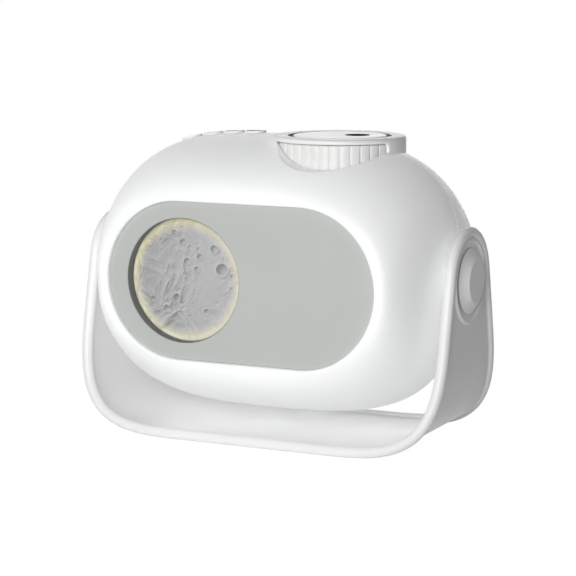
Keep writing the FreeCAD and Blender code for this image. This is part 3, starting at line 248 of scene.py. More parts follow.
class Finish(Nodes):
    """One node material: a main shader and patterns in the object's own coordinates."""

    def __init__(self, name, colour, roughness, **sockets):
        FINISHES[name] = self
        self.material = bpy.data.materials.new(name)
        self.material.use_nodes = True
        super().__init__(self.material.node_tree)
        self.shader = next(n for n in self.tree.nodes if n.type == "BSDF_PRINCIPLED")
        self.coordinates = self.node("ShaderNodeTexCoord").outputs["Object"]
        self.colour = linear(colour)
        self.set("Base Color", self.colour)
        self.set("Roughness", roughness)
        for socket, value in sockets.items():
            self.set(socket.replace("_", " "), value)

    def set(self, socket, source):
        """Feed a socket of the main shader."""
        self.feed(self.shader.inputs[socket], source)

    def noise(self, size, detail=3.0, stretch=(1, 1, 1)):
        """Soft random pattern whose blotches are about the given size across, in metres."""
        mapping = self.node("ShaderNodeMapping", self.coordinates, vector_type="POINT",
                            Scale=stretch)
        return self.node("ShaderNodeTexNoise", mapping.outputs["Vector"], Scale=1 / size,
                         Detail=detail, Roughness=0.55).outputs["Fac"]

    def spread(self, value, low, high, start=0.3, end=0.7, soft=False):
        """A pattern's value moved to a new range."""
        return self.node("ShaderNodeMapRange", value, start, end, low, high,
                         interpolation_type="SMOOTHSTEP" if soft else "LINEAR").outputs["Result"]

    def mix(self, value, first, second):
        """Two colours or colour sockets, mixed by a value."""
        blend = self.node("ShaderNodeMix", value, data_type="RGBA")
        self.feed(blend.inputs[6], first)
        self.feed(blend.inputs[7], second)
        return blend.outputs[2]

    def mottle(self, pattern, dark, light):
        """Let the tone follow a pattern, from a darker to a lighter shade of the colour."""
        self.set("Base Color", self.mix(self.spread(pattern, 0, 1), shade_of(self.colour, dark),
                                        shade_of(self.colour, light)))

    def bump(self, value, depth):
        """A relief of the given depth in metres."""
        return self.node("ShaderNodeBump", Strength=1.0, Distance=depth,
                         Height=value).outputs["Normal"]


def shade_of(colour, factor):
    """A linear colour made lighter or darker."""
    return tuple(min(1.0, c * factor) for c in colour[:3]) + (1.0,)


CLOUD_SIZE, GLOSS_SIZE = 38 * MM, 9 * MM            # blotches of tone and of gloss on plastic


def moulded(name, colour, roughness, grain=0.35 * MM, depth=0.006 * MM, cloud=0.02, **sockets):
    """Moulded plastic: faint clouds of tone, a fine grain and slightly uneven gloss."""
    finish = Finish(name, colour, roughness, **sockets)
    finish.mottle(finish.noise(CLOUD_SIZE, 2.0), 1 - cloud, 1 + cloud / 2)
    uneven = finish.noise(GLOSS_SIZE)
    finish.set("Roughness", finish.spread(uneven, roughness - 0.04, roughness + 0.05))
    finish.set("Normal", finish.bump(finish.noise(grain, 2.0), depth))


def brushed(name, colour, roughness, stretch):
    """Metal with fine lines along one direction."""
    finish = Finish(name, colour, roughness, Metallic=1.0)
    lines = finish.noise(0.3 * MM, 4.0, stretch)
    finish.mottle(lines, 0.86, 1.08)
    finish.set("Roughness", finish.spread(lines, roughness - 0.07, roughness + 0.1))
    finish.set("Normal", finish.bump(lines, 0.01 * MM))


def finish_of(slot):
    """The material of a slot."""
    return FINISHES[slot].material


# thick white mouldings that take the stand's plain white, without the casing's painted glow
WITHOUT_PAINTED_GLOW = {"tower_collar": "stand_white"}


def dress():
    """Give every node the finish of the slot that the record names, or of its stand-in."""
    for name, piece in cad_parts.items():
        slot = WITHOUT_PAINTED_GLOW.get(name, piece.data.materials[0].name.split(".")[0])
        for index in range(len(piece.material_slots)):
            piece.material_slots[index].link = "DATA"
            piece.data.materials[index] = finish_of(slot)


# ---------------------------------------------------------------- finishes
PAINTED_GLOW = 0.15                # painted light: a faint glow of the white casing that lifts its shaded side


def make_plastics():
    """White casings, the grey panel, dark inner mouldings and rubber."""
    # the casing's emission is painted light: a faint glow that lifts its shade
    moulded("casing_white", (246, 247, 247), 0.42, Emission_Color=(1, 1, 1, 1),
            Emission_Strength=PAINTED_GLOW)
    moulded("stand_white", (247, 247, 247), 0.40)
    moulded("ring_white", (232, 232, 231), 0.38)
    moulded("panel_grey", (191, 194, 191), 0.48, grain=0.25 * MM)
    moulded("reflector_white", (246, 246, 243), 0.25)
    moulded("black_plastic", (28, 29, 31), 0.75, grain=0.4 * MM, depth=0.015 * MM, cloud=0.1,
            Specular_IOR_Level=0.12)
    moulded("rubber_grey", (116, 118, 117), 0.78, grain=0.5 * MM, depth=0.03 * MM, cloud=0.08)
    moulded("nylon_natural", (226, 222, 206), 0.42, grain=0.5 * MM, Subsurface_Weight=0.15,
            Subsurface_Scale=0.5 * MM)
    moulded("chip_black", (38, 38, 41), 0.55, grain=0.15 * MM, depth=0.01 * MM)
    moulded("cell_wrap", (70, 118, 160), 0.32, grain=2.5 * MM, depth=0.02 * MM)


# dark and light tone of a button's pressed face, the gloss of its side and that of the face
BUTTON_TONES, BUTTON_GLOSS = ((62, 64, 67), (70, 72, 75)), (0.36, 0.75)


def make_button_finish():
    """White push buttons whose pressed faces are a matt darker grey."""
    finish = Finish("button_white", (240, 240, 241), BUTTON_GLOSS[0], Specular_IOR_Level=0.15)
    normal = finish.node("ShaderNodeTexCoord").outputs["Normal"]
    parts = finish.node("ShaderNodeSeparateXYZ", normal)
    top = finish.spread(parts.outputs["Z"], 0.0, 1.0, 0.1, 0.35)
    dark, light = (linear(tone) for tone in BUTTON_TONES)
    face = finish.mix(finish.spread(finish.noise(6 * MM), 0, 1), dark, light)
    finish.set("Base Color", finish.mix(top, finish.colour, face))
    finish.set("Roughness", finish.spread(top, *BUTTON_GLOSS, 0.0, 1.0))
    finish.set("Normal", finish.bump(finish.noise(0.35 * MM, 2.0), 0.008 * MM))


def make_metals():
    """Turned and stamped metal."""
    brushed("steel", (196, 198, 202), 0.28, (1, 1, 8))
    brushed("sink_aluminium", (206, 208, 211), 0.35, (12, 1, 1))
    brushed("bush_brass", (206, 172, 104), 0.3, (1, 1, 9))


def make_clear():
    """Lens glass and the star film."""
    glass = Finish("optical_glass", (240, 246, 250), 0.02, IOR=1.52, Transmission_Weight=1.0)
    smear = glass.noise(3 * MM, 2.0)
    glass.set("Roughness", glass.spread(smear, 0.01, 0.05))
    film = Finish("star_film_clear", (14, 18, 34), 0.2, IOR=1.49)
    stars = film.node("ShaderNodeTexVoronoi", film.coordinates, Scale=700.0, Randomness=1.0)
    point = film.spread(stars.outputs["Distance"], 1.0, 0.0, 0.05, 0.16)
    film.set("Base Color", film.mix(point, film.colour, linear((236, 242, 250))))
    film.set("Transmission Weight", film.spread(stars.outputs["Distance"], 0.95, 0.1, 0.05, 0.16))


def make_electronics():
    """Circuit boards and lamps."""
    board = Finish("board_green", (24, 92, 58), 0.4)
    tracks = board.node("ShaderNodeTexBrick", board.coordinates, Scale=260.0, offset=0.5,
                        Mortar_Size=0.05, Mortar=shade_of(board.colour, 1.7),
                        Color1=board.colour, Color2=shade_of(board.colour, 0.85))
    board.set("Base Color", tracks.outputs["Color"])
    board.set("Roughness", board.spread(board.noise(2 * MM), 0.32, 0.5))
    lamp = Finish("led_yellow", (246, 214, 92), 0.35, Emission_Strength=0.25,
                  Emission_Color=linear((255, 226, 150)))
    lamp.mottle(lamp.noise(0.4 * MM), 0.85, 1.0)


EDGE_ROLL = 0.6 * MM            # how far the moon face's edge is rounded over
# tones of the lit band low and high on the face, of its edge, of its painted lit ridges and of its
# glow
BAND_LOW, BAND_HIGH, BAND_EDGE = (238, 235, 212), (216, 208, 166), (252, 249, 236)
BAND_RIDGE, BAND_GLOW = (246, 241, 220), (246, 238, 200)


def make_moon_finish(moon):
    """Frosted moon face: pale grey relief with painted shading, and a warm lit band near its edge."""
    finish = Finish("moon_frosted", (186, 186, 187), 0.5, Emission_Color=linear(BAND_GLOW))
    centre = middle("moon_diffuser")
    centred = finish.node("ShaderNodeMapping", finish.coordinates, vector_type="POINT",
                          Scale=(1, 0, 1), Location=(-centre.x, 0, -centre.z)).outputs["Vector"]
    distance = finish.vector_math("LENGTH", centred)
    uneven = finish.math("MULTIPLY_ADD", finish.noise(4 * MM, 4.0), 2 * MM, distance)
    start = moon.radius - moon.band
    band = finish.spread(uneven, 0.0, 1.0, start, start + moon.band + 1 * MM, soft=True)
    edge = finish.spread(distance, 0.0, 1.0, moon.radius - EDGE_ROLL,
                         moon.radius - EDGE_ROLL / 2)
    parts = finish.node("ShaderNodeSeparateXYZ", centred)
    upper = finish.spread(parts.outputs["Z"], 0.0, 1.0, -moon.radius, moon.radius)
    cream = finish.mix(upper, linear(BAND_LOW), linear(BAND_HIGH))
    warm = finish.mix(edge, cream, linear(BAND_EDGE))
    # painted shade and light: the relief's shading, kept on the points, darkens hollows and shaded
    # slopes and lightens lit ones
    relief = finish.node("ShaderNodeAttribute", attribute_name="relief").outputs["Fac"]
    shaded_relief = finish.mix(relief, shade_of(finish.colour, 0.6), shade_of(finish.colour, 1.2))
    pale = finish.mix(relief, shade_of(finish.colour, 0.8), linear(BAND_RIDGE))
    lit = finish.mix(edge, finish.mix(band, pale, warm), warm)
    finish.set("Base Color", finish.mix(band, shaded_relief, lit))
    finish.set("Emission Strength", finish.math("MULTIPLY", band, moon.glow))
    finish.set("Normal", finish.bump(finish.noise(0.6 * MM), 0.03 * MM))


# ---------------------------------------------------------------- settings
def number(label, about, value, subtype="NONE"):
    """A number that a user may change."""
    return FloatProperty(name=label, description=about, subtype=subtype, default=value)


def length(label, about, value):
    """A length that a user may change."""
    return number(label, about, value, "DISTANCE")


class StandSettings(bpy.types.PropertyGroup):
    """Sizes of the stand's bent web and round rim."""
    half_width: length("Half width", "Middle plane to the middle of an arm", 90.0 * MM)
    half_depth: length("Half depth", "Middle plane to the rim's centre line at the base", 38.4 * MM)
    arm_half_depth: length("Arm half depth", "The same at the pivot's height", 22.3 * MM)
    pivot_height: length("Pivot height", "Table to the tilt axis", 77.5 * MM)
    rim_radius: length("Rim radius", "Radius of the round rim", 2.53 * MM)
    rim_height: length("Rim height", "Table to the rim's centre line", 2.83 * MM)
    corner_width: length("Corner width", "How far a lower corner reaches sideways", 58.6 * MM)
    corner_height: length("Corner height", "How far a lower corner reaches upwards", 60.4 * MM)
    corner_power: number("Corner squareness", "Two is an ellipse and more is squarer", 3.77)
    web: length("Web", "Thickness of the web", 1.8 * MM)
    fillet: length("Fillet", "Radius where the web flows into the rim", 2.0 * MM)
    hole: length("Pivot hole", "Radius of the hole in an arm", 6.4 * MM)
    lip: length("Lip", "Middle radius of the raised lip about a pivot", 18.5 * MM)
    lip_width: length("Lip width", "Width of that lip at its foot", 2.7 * MM)
    lip_rise: length("Lip rise", "How far that lip stands out", 1.1 * MM)


class RingSettings(bpy.types.PropertyGroup):
    """Sizes of the focus ring's grip."""
    flutes: IntProperty(name="Grooves", description="How many grooves run round the ring",
                        default=38, min=3)
    depth: length("Groove depth", "How deep a groove is", 0.7 * MM)
    width: length("Groove width", "How wide a groove is", 0.6 * MM)
    crown: length("Crown", "How far a rib's edges fall off from its middle", 0.25 * MM)


class ScrewSettings(bpy.types.PropertyGroup):
    """Sizes of the screws that close the casing."""
    across: length("Across", "Distance between the columns of screws", 120.0 * MM)
    up: length("Up", "Distance between the rows of screws", 58.0 * MM)
    head: length("Head", "Radius of a screw's head", 2.9 * MM)
    shank: length("Shank", "Radius of a screw's shank", 1.3 * MM)
    cross: length("Cross", "Half length of the recess for the driver", 1.8 * MM)


class MoonSettings(bpy.types.PropertyGroup):
    """Sizes of the moon face."""
    radius: length("Radius", "Radius of the domed face", half_size("moon_diffuser").x - 2.4 * MM)
    rise: length("Rise", "Height of the dome over its flat rim, without the relief", 1.9 * MM)
    relief: length("Relief", "Depth of the largest crater", 1.2 * MM)
    band: length("Lit band", "Width of the warm band at the edge", 6.5 * MM)
    small_craters: IntProperty(name="Small craters", default=70,
                               description="How many small craters are strewn")
    seed: IntProperty(name="Seed", description="Start of the random places", default=11)
    glow: number("Glow", "Strength of the warm light at the edge", 0.05)


class StageSettings(bpy.types.PropertyGroup):
    """Camera and lamps."""
    turn: number("Turn", "Camera's angle to the right of the front", math.radians(25.33), "ANGLE")
    rise: number("Elevation", "Camera's angle over the table", math.radians(8.77), "ANGLE")
    distance: length("Distance", "Camera to the point that it looks at", 955 * MM)
    target: FloatVectorProperty(name="Target", description="The point that the camera looks at",
                                subtype="TRANSLATION", default=(1.11 * MM, 0.0, 68.37 * MM))
    focal: number("Focal length", "In millimetres on a 36 mm sensor", 127.875)
    front: number("Front lamp", "Power of the large lamp in front", 18.6, "POWER")
    left: number("Left lamp", "Power of the lamp high at the left", 3.9, "POWER")
    rear: number("Rear lamp", "Power of the low lamp behind", 3.0, "POWER")
    surround: number("Surround", "Strength of the even light all round", 0.03)


# ---------------------------------------------------------------- stand
BASE_STEPS, CORNER_STEPS, ARM_STEPS, ARCH_STEPS = 5, 30, 4, 40
SOFT_STEPS, BEAD_STEPS, HOLE_STEPS, LIP_STEPS = 6, 12, 64, 120
# a lip's section: across as parts of half its width, and up as parts of its rise
LIP_SECTION = ((-1.0, -0.4), (-1.0, 0.0), (-0.82, 0.06), (-0.66, 0.4), (-0.5, 0.8), (-0.25, 1.0),
               (0.25, 1.0), (0.5, 0.8), (0.66, 0.4), (0.82, 0.06), (1.0, 0.0), (1.0, -0.4))


class StandShape:
    """The stand's form: a bent web with a round rim, worked out from its sizes."""

    def __init__(self, sizes):
        self.sizes = sizes
        rise = sizes.pivot_height - sizes.rim_height
        self.taper = math.atan((sizes.half_depth - sizes.arm_half_depth) / rise)
        self.arch = sizes.arm_half_depth * math.cos(self.taper)

    def corner(self, turn):
        """Place and outward direction in the X and Z plane at a turn round the corner."""
        sizes = self.sizes
        power = 2 / sizes.corner_power
        across, up = math.sin(turn) ** power, max(math.cos(turn), 0.0) ** power
        x = sizes.half_width - sizes.corner_width * (1 - across)
        z = sizes.rim_height + sizes.corner_height * (1 - up)
        out_x = across ** (sizes.corner_power - 1) / sizes.corner_width
        out_z = -up ** (sizes.corner_power - 1) / sizes.corner_height
        total = math.hypot(out_x, out_z)
        return x, z, out_x / total, out_z / total

    def front_frames(self):
        """Frames along the right front edge: place, outward and inward directions."""
        sizes = self.sizes
        start = self.corner(0.0)
        flat = [(start[0] * i / BASE_STEPS, start[1], 0.0, -1.0) for i in range(BASE_STEPS)]
        turns = [math.pi / 2 * i / CORNER_STEPS for i in range(CORNER_STEPS + 1)]
        bend = [self.corner(turn) for turn in turns]
        foot, head = bend[-1][1], sizes.pivot_height + self.arch * math.sin(self.taper)
        arm = [(sizes.half_width, foot + (head - foot) * i / ARM_STEPS, 1.0, 0.0)
               for i in range(1, ARM_STEPS)]
        frames = []
        for x, z, out_x, out_z in flat + bend + arm:
            depth = sizes.half_depth - (z - sizes.rim_height) * math.tan(self.taper)
            outward = Vector((out_x, 0, out_z))
            along = Vector((-out_z, out_x * math.tan(self.taper), out_x)).normalized()
            frames.append((Vector((x, -depth, z)), outward, along.cross(outward)))
        return frames

    def arch_frames(self):
        """Frames over the round top of the right arm, from front to rear."""
        frames = []
        for i in range(ARCH_STEPS + 1):
            angle = math.pi - self.taper - (math.pi - 2 * self.taper) * i / ARCH_STEPS
            spoke = Vector((0, math.cos(angle), math.sin(angle)))
            pivot = Vector((self.sizes.half_width, 0, self.sizes.pivot_height))
            frames.append((pivot + self.arch * spoke, Vector((1, 0, 0)), -spoke))
        return frames

    def profile(self):
        """Cross section from the web's outer face round the rim to its inner face."""
        half, radius, soft = self.sizes.web / 2, self.sizes.rim_radius, self.sizes.fillet
        reach = math.sqrt((radius + soft) ** 2 - (half + soft) ** 2)
        meet = math.atan2(half + soft, reach)
        outer = []
        for i in range(SOFT_STEPS):
            angle = -math.pi / 2 - (math.pi / 2 - meet) * i / SOFT_STEPS
            outer.append((reach + soft * math.cos(angle), half + soft + soft * math.sin(angle)))
        for i in range(BEAD_STEPS):
            angle = meet + (math.pi - meet) * i / BEAD_STEPS
            outer.append((radius * math.cos(angle), radius * math.sin(angle)))
        return outer + [(-radius, 0.0)] + [(a, -b) for a, b in reversed(outer)]


def flipped(frame_at, x=1, y=1):
    """A frame mirrored in X or Y."""
    return tuple(Vector((x * v.x, y * v.y, v.z)) for v in frame_at)


class PROJECTOR_OT_stand(bpy.types.Operator):
    """Make the stand with its round rim flowing into the web, and the lips about the pivots"""
    bl_idname = "projector.stand"
    bl_label = "Stand"

    def execute(self, context):
        sizes = context.scene.projector_stand
        shape = StandShape(sizes)
        front = shape.front_frames()
        right = front + shape.arch_frames() + [flipped(f, y=-1) for f in reversed(front)]
        frames = right + [flipped(f, x=-1) for f in reversed(right[1:-1])]
        profile = shape.profile()
        vertices = [place + inward * a + outward * b
                    for place, outward, inward in frames for a, b in profile]
        count, wide = len(frames), len(profile)
        faces = [(i * wide + k, i * wide + k + 1, (i + 1) % count * wide + k + 1,
                  (i + 1) % count * wide + k) for i in range(count) for k in range(wide - 1)]
        last = len(front) - ARM_STEPS                     # the row where the flat arm starts
        for k in (0, wide - 1):
            for i in range(-last, last):
                rear = len(right) - 1 - i
                faces.append((i % count * wide + k, (i + 1) % count * wide + k,
                              (rear - 1) % count * wide + k, rear % count * wide + k))
        for side in (1, -1):
            pivot = Vector((side * sizes.half_width, 0, sizes.pivot_height))
            loop = [i if side > 0 else -i % count for i in range(last, len(right) - last)]
            holes = []
            for k, face in ((0, 1), (wide - 1, -1)):
                hole = list(range(len(vertices), len(vertices) + HOLE_STEPS))
                holes.append(hole)
                for i in range(HOLE_STEPS):
                    angle = 2 * math.pi * i / HOLE_STEPS - math.pi
                    vertices.append(pivot + Vector((side * face * sizes.web / 2,
                                                    sizes.hole * math.cos(angle),
                                                    sizes.hole * math.sin(angle))))
                faces += join_loops(by_angle([i * wide + k for i in loop], vertices, pivot, 1, 2),
                                    by_angle(hole, vertices, pivot, 1, 2))
            faces += bridge(holes)
        settle("stand_cradle", new_mesh("stand_cradle", vertices, faces, crease=40), "stand",
               "stand_white", "stand_frame")
        for name, side in (("pivot_lip_right", 1), ("pivot_lip_left", -1)):
            section = [(sizes.lip + sizes.lip_width / 2 * a, sizes.lip_rise * b)
                       for a, b in LIP_SECTION]
            face_x = side * (sizes.half_width + sizes.web / 2)
            lip = turned(section, LIP_STEPS, closed=True, place=lambda a, b, out: Vector(
                (face_x + side * out, a, sizes.pivot_height + b)))
            settle(name, new_mesh(name, *lip, crease=50), "stand", "stand_white")
        return {"FINISHED"}


# ---------------------------------------------------------------- focus ring
# radius and height of the ring's section, in millimetres from the axis and from its foot
RING_SECTION = ((20.3, 0.3), (20.6, 0), (28.2, 0), (28.7, 0.5), (28.7, 4.0), (28.7, 8.0),
                (28.7, 12.0), (28.7, 15.3), (28.55, 15.8), (28.1, 16.1), (24.6, 16.1),
                (24.2, 15.7), (24.2, 3.0), (20.6, 3.0), (20.3, 2.7))
RING_WALL, RING_CREST, STEPS_PER_FLUTE = 27.9 * MM, 28.7 * MM, 16


class PROJECTOR_OT_ring(bpy.types.Operator):
    """Make the focus ring and press evenly spaced grooves into its wall"""
    bl_idname = "projector.ring"
    bl_label = "Focus ring"

    def execute(self, context):
        sizes = context.scene.projector_ring
        axis = middle("focus_ring")
        axis.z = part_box("focus_ring")[0].z
        blank = turned(section_at(RING_SECTION), sizes.flutes * STEPS_PER_FLUTE, closed=True,
                       place=lambda a, b, up: axis + Vector((a, b, up)))
        tree = GeometryTree("ring_grooves", grooves=sizes.flutes, depth=sizes.depth,
                            width=sizes.width, crown=sizes.crown, wall_radius=RING_WALL,
                            crest_radius=RING_CREST, axis=Vector(axis))
        given = tree.inputs
        spoke = tree.vector_math("SUBTRACT", tree.node("GeometryNodeInputPosition").outputs[0],
                                 given["Axis"])
        spoke = tree.vector_math("MULTIPLY", spoke, (1, 1, 0))
        parts = tree.node("ShaderNodeSeparateXYZ", spoke).outputs
        angle = tree.math("ARCTAN2", parts["Y"], parts["X"])
        pitch = tree.math("DIVIDE", 2 * math.pi, given["Grooves"])
        place = tree.math("DIVIDE", angle, pitch)
        away = tree.math("ABSOLUTE", tree.math("SUBTRACT", place, tree.math("ROUND", place)))
        across = tree.math("MULTIPLY", tree.math("MULTIPLY", away, pitch), given["Crest radius"])
        groove = tree.node("ShaderNodeMapRange", across, 0.0,
                           tree.math("DIVIDE", given["Width"], 2.0), given["Depth"], 0.0,
                           interpolation_type="SMOOTHSTEP").outputs[0]
        edge = tree.math("POWER", tree.math("MULTIPLY_ADD", away, -2.0, 1.0), 2.0)
        sunk = tree.math("MULTIPLY_ADD", edge, given["Crown"], groove)
        on_wall = tree.math("GREATER_THAN", tree.vector_math("LENGTH", spoke),
                            given["Wall radius"])
        inward = tree.math("MULTIPLY", tree.math("MULTIPLY", sunk, on_wall), -1.0)
        shift = tree.vector_math("SCALE", tree.vector_math("NORMALIZE", spoke), Scale=inward)
        moved = tree.node("GeometryNodeSetPosition", given["Geometry"])
        tree.feed(moved.inputs["Offset"], shift)
        ring = tree.finished(moved.outputs[0], new_mesh("ring_blank", *blank, crease=60),
                             "ring_white")
        settle("focus_grip", ring, "focus", "ring_white", "focus_ring")
        return {"FINISHED"}


# ---------------------------------------------------------------- light seals, partly painted shade
SEAL_STEPS = 96
# radius and height of each closed section, in millimetres from its axis and from the table
SEAL_SECTION = ((20.35, 133.0), (24.15, 133.0), (24.15, 136.9), (23.9, 137.2), (20.7, 135.6),
                (20.35, 135.2))
WIPER_SECTION = ((21.45, 138.5), (23.72, 138.5), (23.72, 140.35), (23.4, 140.5), (21.8, 140.5),
                 (21.45, 140.3))
LINER_SECTION = ((4.6, 138.1), (5.05, 138.1), (5.05, 140.0), (5.75, 140.76), (5.75, 140.86),
                 (5.6, 140.92), (5.2, 140.86), (4.8, 140.55), (4.6, 140.1))


class PROJECTOR_OT_seals(bpy.types.Operator):
    """Make the black seals round the barrel and the lid, and the liner of the opening; the black of
    the lid's seal and of the liner is also painted shade in the gap round the lid and in the opening
    """
    bl_idname = "projector.seals"
    bl_label = "Light seals"

    def execute(self, context):
        for name, section, node, body in (
                ("barrel_seal", SEAL_SECTION, "focus_ring", "focus"),
                # painted shade in part: the lid's wiper and the opening's liner darken the gap round
                # the lid and the opening's wall
                ("lid_wiper", WIPER_SECTION, "focus_ring", "head"),
                ("opening_liner", LINER_SECTION, "projection_lens", "barrel")):
            axis = middle(node)
            seal = turned(section_at(section), SEAL_STEPS, closed=True,
                          place=lambda a, b, up: (axis.x + a, axis.y + b, up))
            settle(name, new_mesh(name, *seal, crease=50), body, "black_plastic")
        return {"FINISHED"}


# ---------------------------------------------------------------- screws
SCREW_STEPS, CROSS_HALF_WIDTH, CROSS_DEPTH = 32, 0.35 * MM, 1.0 * MM
# in millimetres: a shank's end from its radius and tip, and a head from its radius and top
SCREW_TIP = ((-0.3, 0.0), (0.0, 0.4))
SCREW_HEAD = ((0.0, -2.2), (0.0, -0.8), (-0.1, -0.3), (-0.4, 0.0))


class PROJECTOR_OT_screws(bpy.types.Operator):
    """Make one cross-head screw and set it at the four places that close the casing"""
    bl_idname = "projector.screws"
    bl_label = "Casing screws"

    def execute(self, context):
        sizes = context.scene.projector_screws
        tip, top = (corner.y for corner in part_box("shell_screws"))
        head = section_at(SCREW_HEAD, sizes.head, top)
        outline = ([(0, tip)] + section_at(SCREW_TIP, sizes.shank, tip)
                   + [(sizes.shank, head[0][1])] + head)
        vertices, faces = turned(outline, SCREW_STEPS, lambda a, b, y: Vector((a, y, b)))
        rim = list(range(len(vertices) - SCREW_STEPS, len(vertices)))
        narrow, wide = CROSS_HALF_WIDTH, sizes.cross
        corner = ((wide, -narrow), (wide, narrow), (narrow, narrow), (narrow, wide),
                  (-narrow, wide), (-narrow, narrow), (-wide, narrow), (-wide, -narrow),
                  (-narrow, -narrow), (-narrow, -wide), (narrow, -wide), (narrow, -narrow))
        first, count = len(vertices), len(corner)
        cross = [list(range(first + count * row, first + count * (row + 1))) for row in (0, 1)]
        vertices += [Vector((a, y, b)) for y in (top, top - CROSS_DEPTH) for a, b in corner]
        faces += join_loops(by_angle(rim, vertices, Vector(), 0, 2),
                            by_angle(cross[0], vertices, Vector(), 0, 2))
        faces += bridge(cross) + [cross[1]]
        centre = middle("shell_screws")
        tree = GeometryTree("screw_places", across=sizes.across, up=sizes.up,
                            place=Vector((centre.x, 0, centre.z)))
        grid = tree.node("GeometryNodeMeshGrid", tree.inputs["Across"], tree.inputs["Up"], 2, 2)
        upright = tree.node("GeometryNodeTransform", grid.outputs[0])
        tree.feed(upright.inputs["Translation"], tree.inputs["Place"])
        upright.inputs["Rotation"].default_value = (math.pi / 2, 0, 0)
        set_out = tree.node("GeometryNodeInstanceOnPoints", upright.outputs[0])
        tree.feed(set_out.inputs["Instance"], tree.inputs["Geometry"])
        screws = tree.finished(set_out.outputs[0],
                               new_mesh("screw", vertices, faces, crease=30), "steel")
        settle("cross_screws", screws, "head", "steel", "shell_screws")
        return {"FINISHED"}


# ---------------------------------------------------------------- moon
# across, up, radius and depth of the main craters, as parts of the moon's radius and relief
MAIN_CRATERS = ((0.645, 0.195, 0.105, 1.0), (0.25, 0.39, 0.05, 0.7), (0.03, 0.30, 0.055, 0.6),
                (0.205, 0.18, 0.05, 0.7), (0.0, 0.09, 0.05, 0.5), (0.22, 0.50, 0.04, 0.6),
                (0.50, 0.52, 0.065, 0.8), (-0.16, -0.30, 0.07, 0.8), (-0.355, -0.49, 0.065, 0.7),
                (-0.10, -0.17, 0.04, 0.4), (0.36, -0.50, 0.05, 0.5), (-0.22, 0.74, 0.055, 0.8),
                (-0.06, 0.61, 0.055, 0.7), (0.06, 0.52, 0.04, 0.6), (0.81, 0.10, 0.035, 0.6),
                (0.81, -0.11, 0.045, 0.5), (-0.68, 0.58, 0.06, 0.7), (-0.62, -0.35, 0.05, 0.6))
# how far out the small craters reach, and their radii and depths, as the same parts
STREWN_REACH, STREWN_RADII, STREWN_DEPTHS = 0.93, (0.014, 0.034), (0.15, 0.4)
# a crater's brim as parts of its depth and radius, and how many radii away it still counts
BRIM_RISE, BRIM_WIDTH, CRATER_REACH = 0.45, 0.28, 2.2
FULL_CRATER = 0.06              # smaller craters than this are shallower too
# waves over the radius across and up, and the cut through the noise, of each kind of ground
WARP, ROUGH, RIDGES, FINE = (2.2, 2.2, 4.4), (7.0, 5.0, 3.1), (6.5, 3.4, 1.3), (10.0, 7.0, 8.3)
ROUGH_DETAIL = (0.9, 2.1, 5)    # fall, step and count of the rough ground's finer waves
WARP_REACH, RIDGE_LEAN, RIDGE_LEVEL, RIDGE_RISE, FINE_RISE = 0.24, 0.3, 0.4, 0.6, 0.3
PLAIN_RISE, RUGGED_RISE = 0.12, 0.2     # rough ground everywhere, and more in the west and rim
WEST_START, WEST_WIDTH, COAST_START, COAST_WIDTH, RIM_FADE = 0.3, 0.5, 0.55, 0.3, 0.07
# tone of level ground, how much darker the west is, and where and how fast that comes in
LEVEL_TONE, WEST_SHADE, SHADE_START, SHADE_RATE = 0.62, 0.2, 0.3, 1.2
# painted shade and light: share of a height in the tone, which darkens hollows, and of a slope, lit
# from the direction given last
HEIGHT_SHARE, SLOPE_SHARE, LIGHT_TURN = 0.35, 0.75, math.radians(37)
MIDDLE_TONE = 0.5
MOON_RINGS, MOON_STEPS, MOON_SEAL_STEPS = 150, 300, 160
DOME_DEPTH, MOON_WALL, MOON_BEVEL = 2.8 * MM, 1.5 * MM, 0.3 * MM
# the hollow back: radius as parts of its wall's, and millimetres behind the flat rim
MOON_HOLLOW = ((1.0, 2.4), (0.7, 1.4), (0.4, 0.7), (0.0, 0.4))
# the seal's gap round the face, its wall outside the hole, and its lip behind the panel's front
SEAL_GAP, SEAL_WALL, LIP_BEHIND = 0.1 * MM, 2.3 * MM, 0.25 * MM
# in millimetres: its edge from the bore and the rear, and its lip from the hole and the lip's front
SEAL_EDGE = ((0.5, 0.0), (0.15, -0.15), (0.0, -0.5))
SEAL_LIP = ((-0.35, 0.15), (-0.2, 0.0), (-0.03, 0.0))


def crater_height(reach, radius, depth):
    """Height at a distance from a crater's middle: a bowl inside a low rounded brim."""
    t = reach / radius
    bowl = -depth * (1 - t * t) if t < 1 else 0.0
    return bowl + BRIM_RISE * depth * math.exp(-((t - 1.0) / BRIM_WIDTH) ** 2)


def noise_place(x, z, ground):
    """The place in the noise of a place on the face, for one kind of ground."""
    across, up, cut = ground
    return Vector((x * across, cut, z * up))


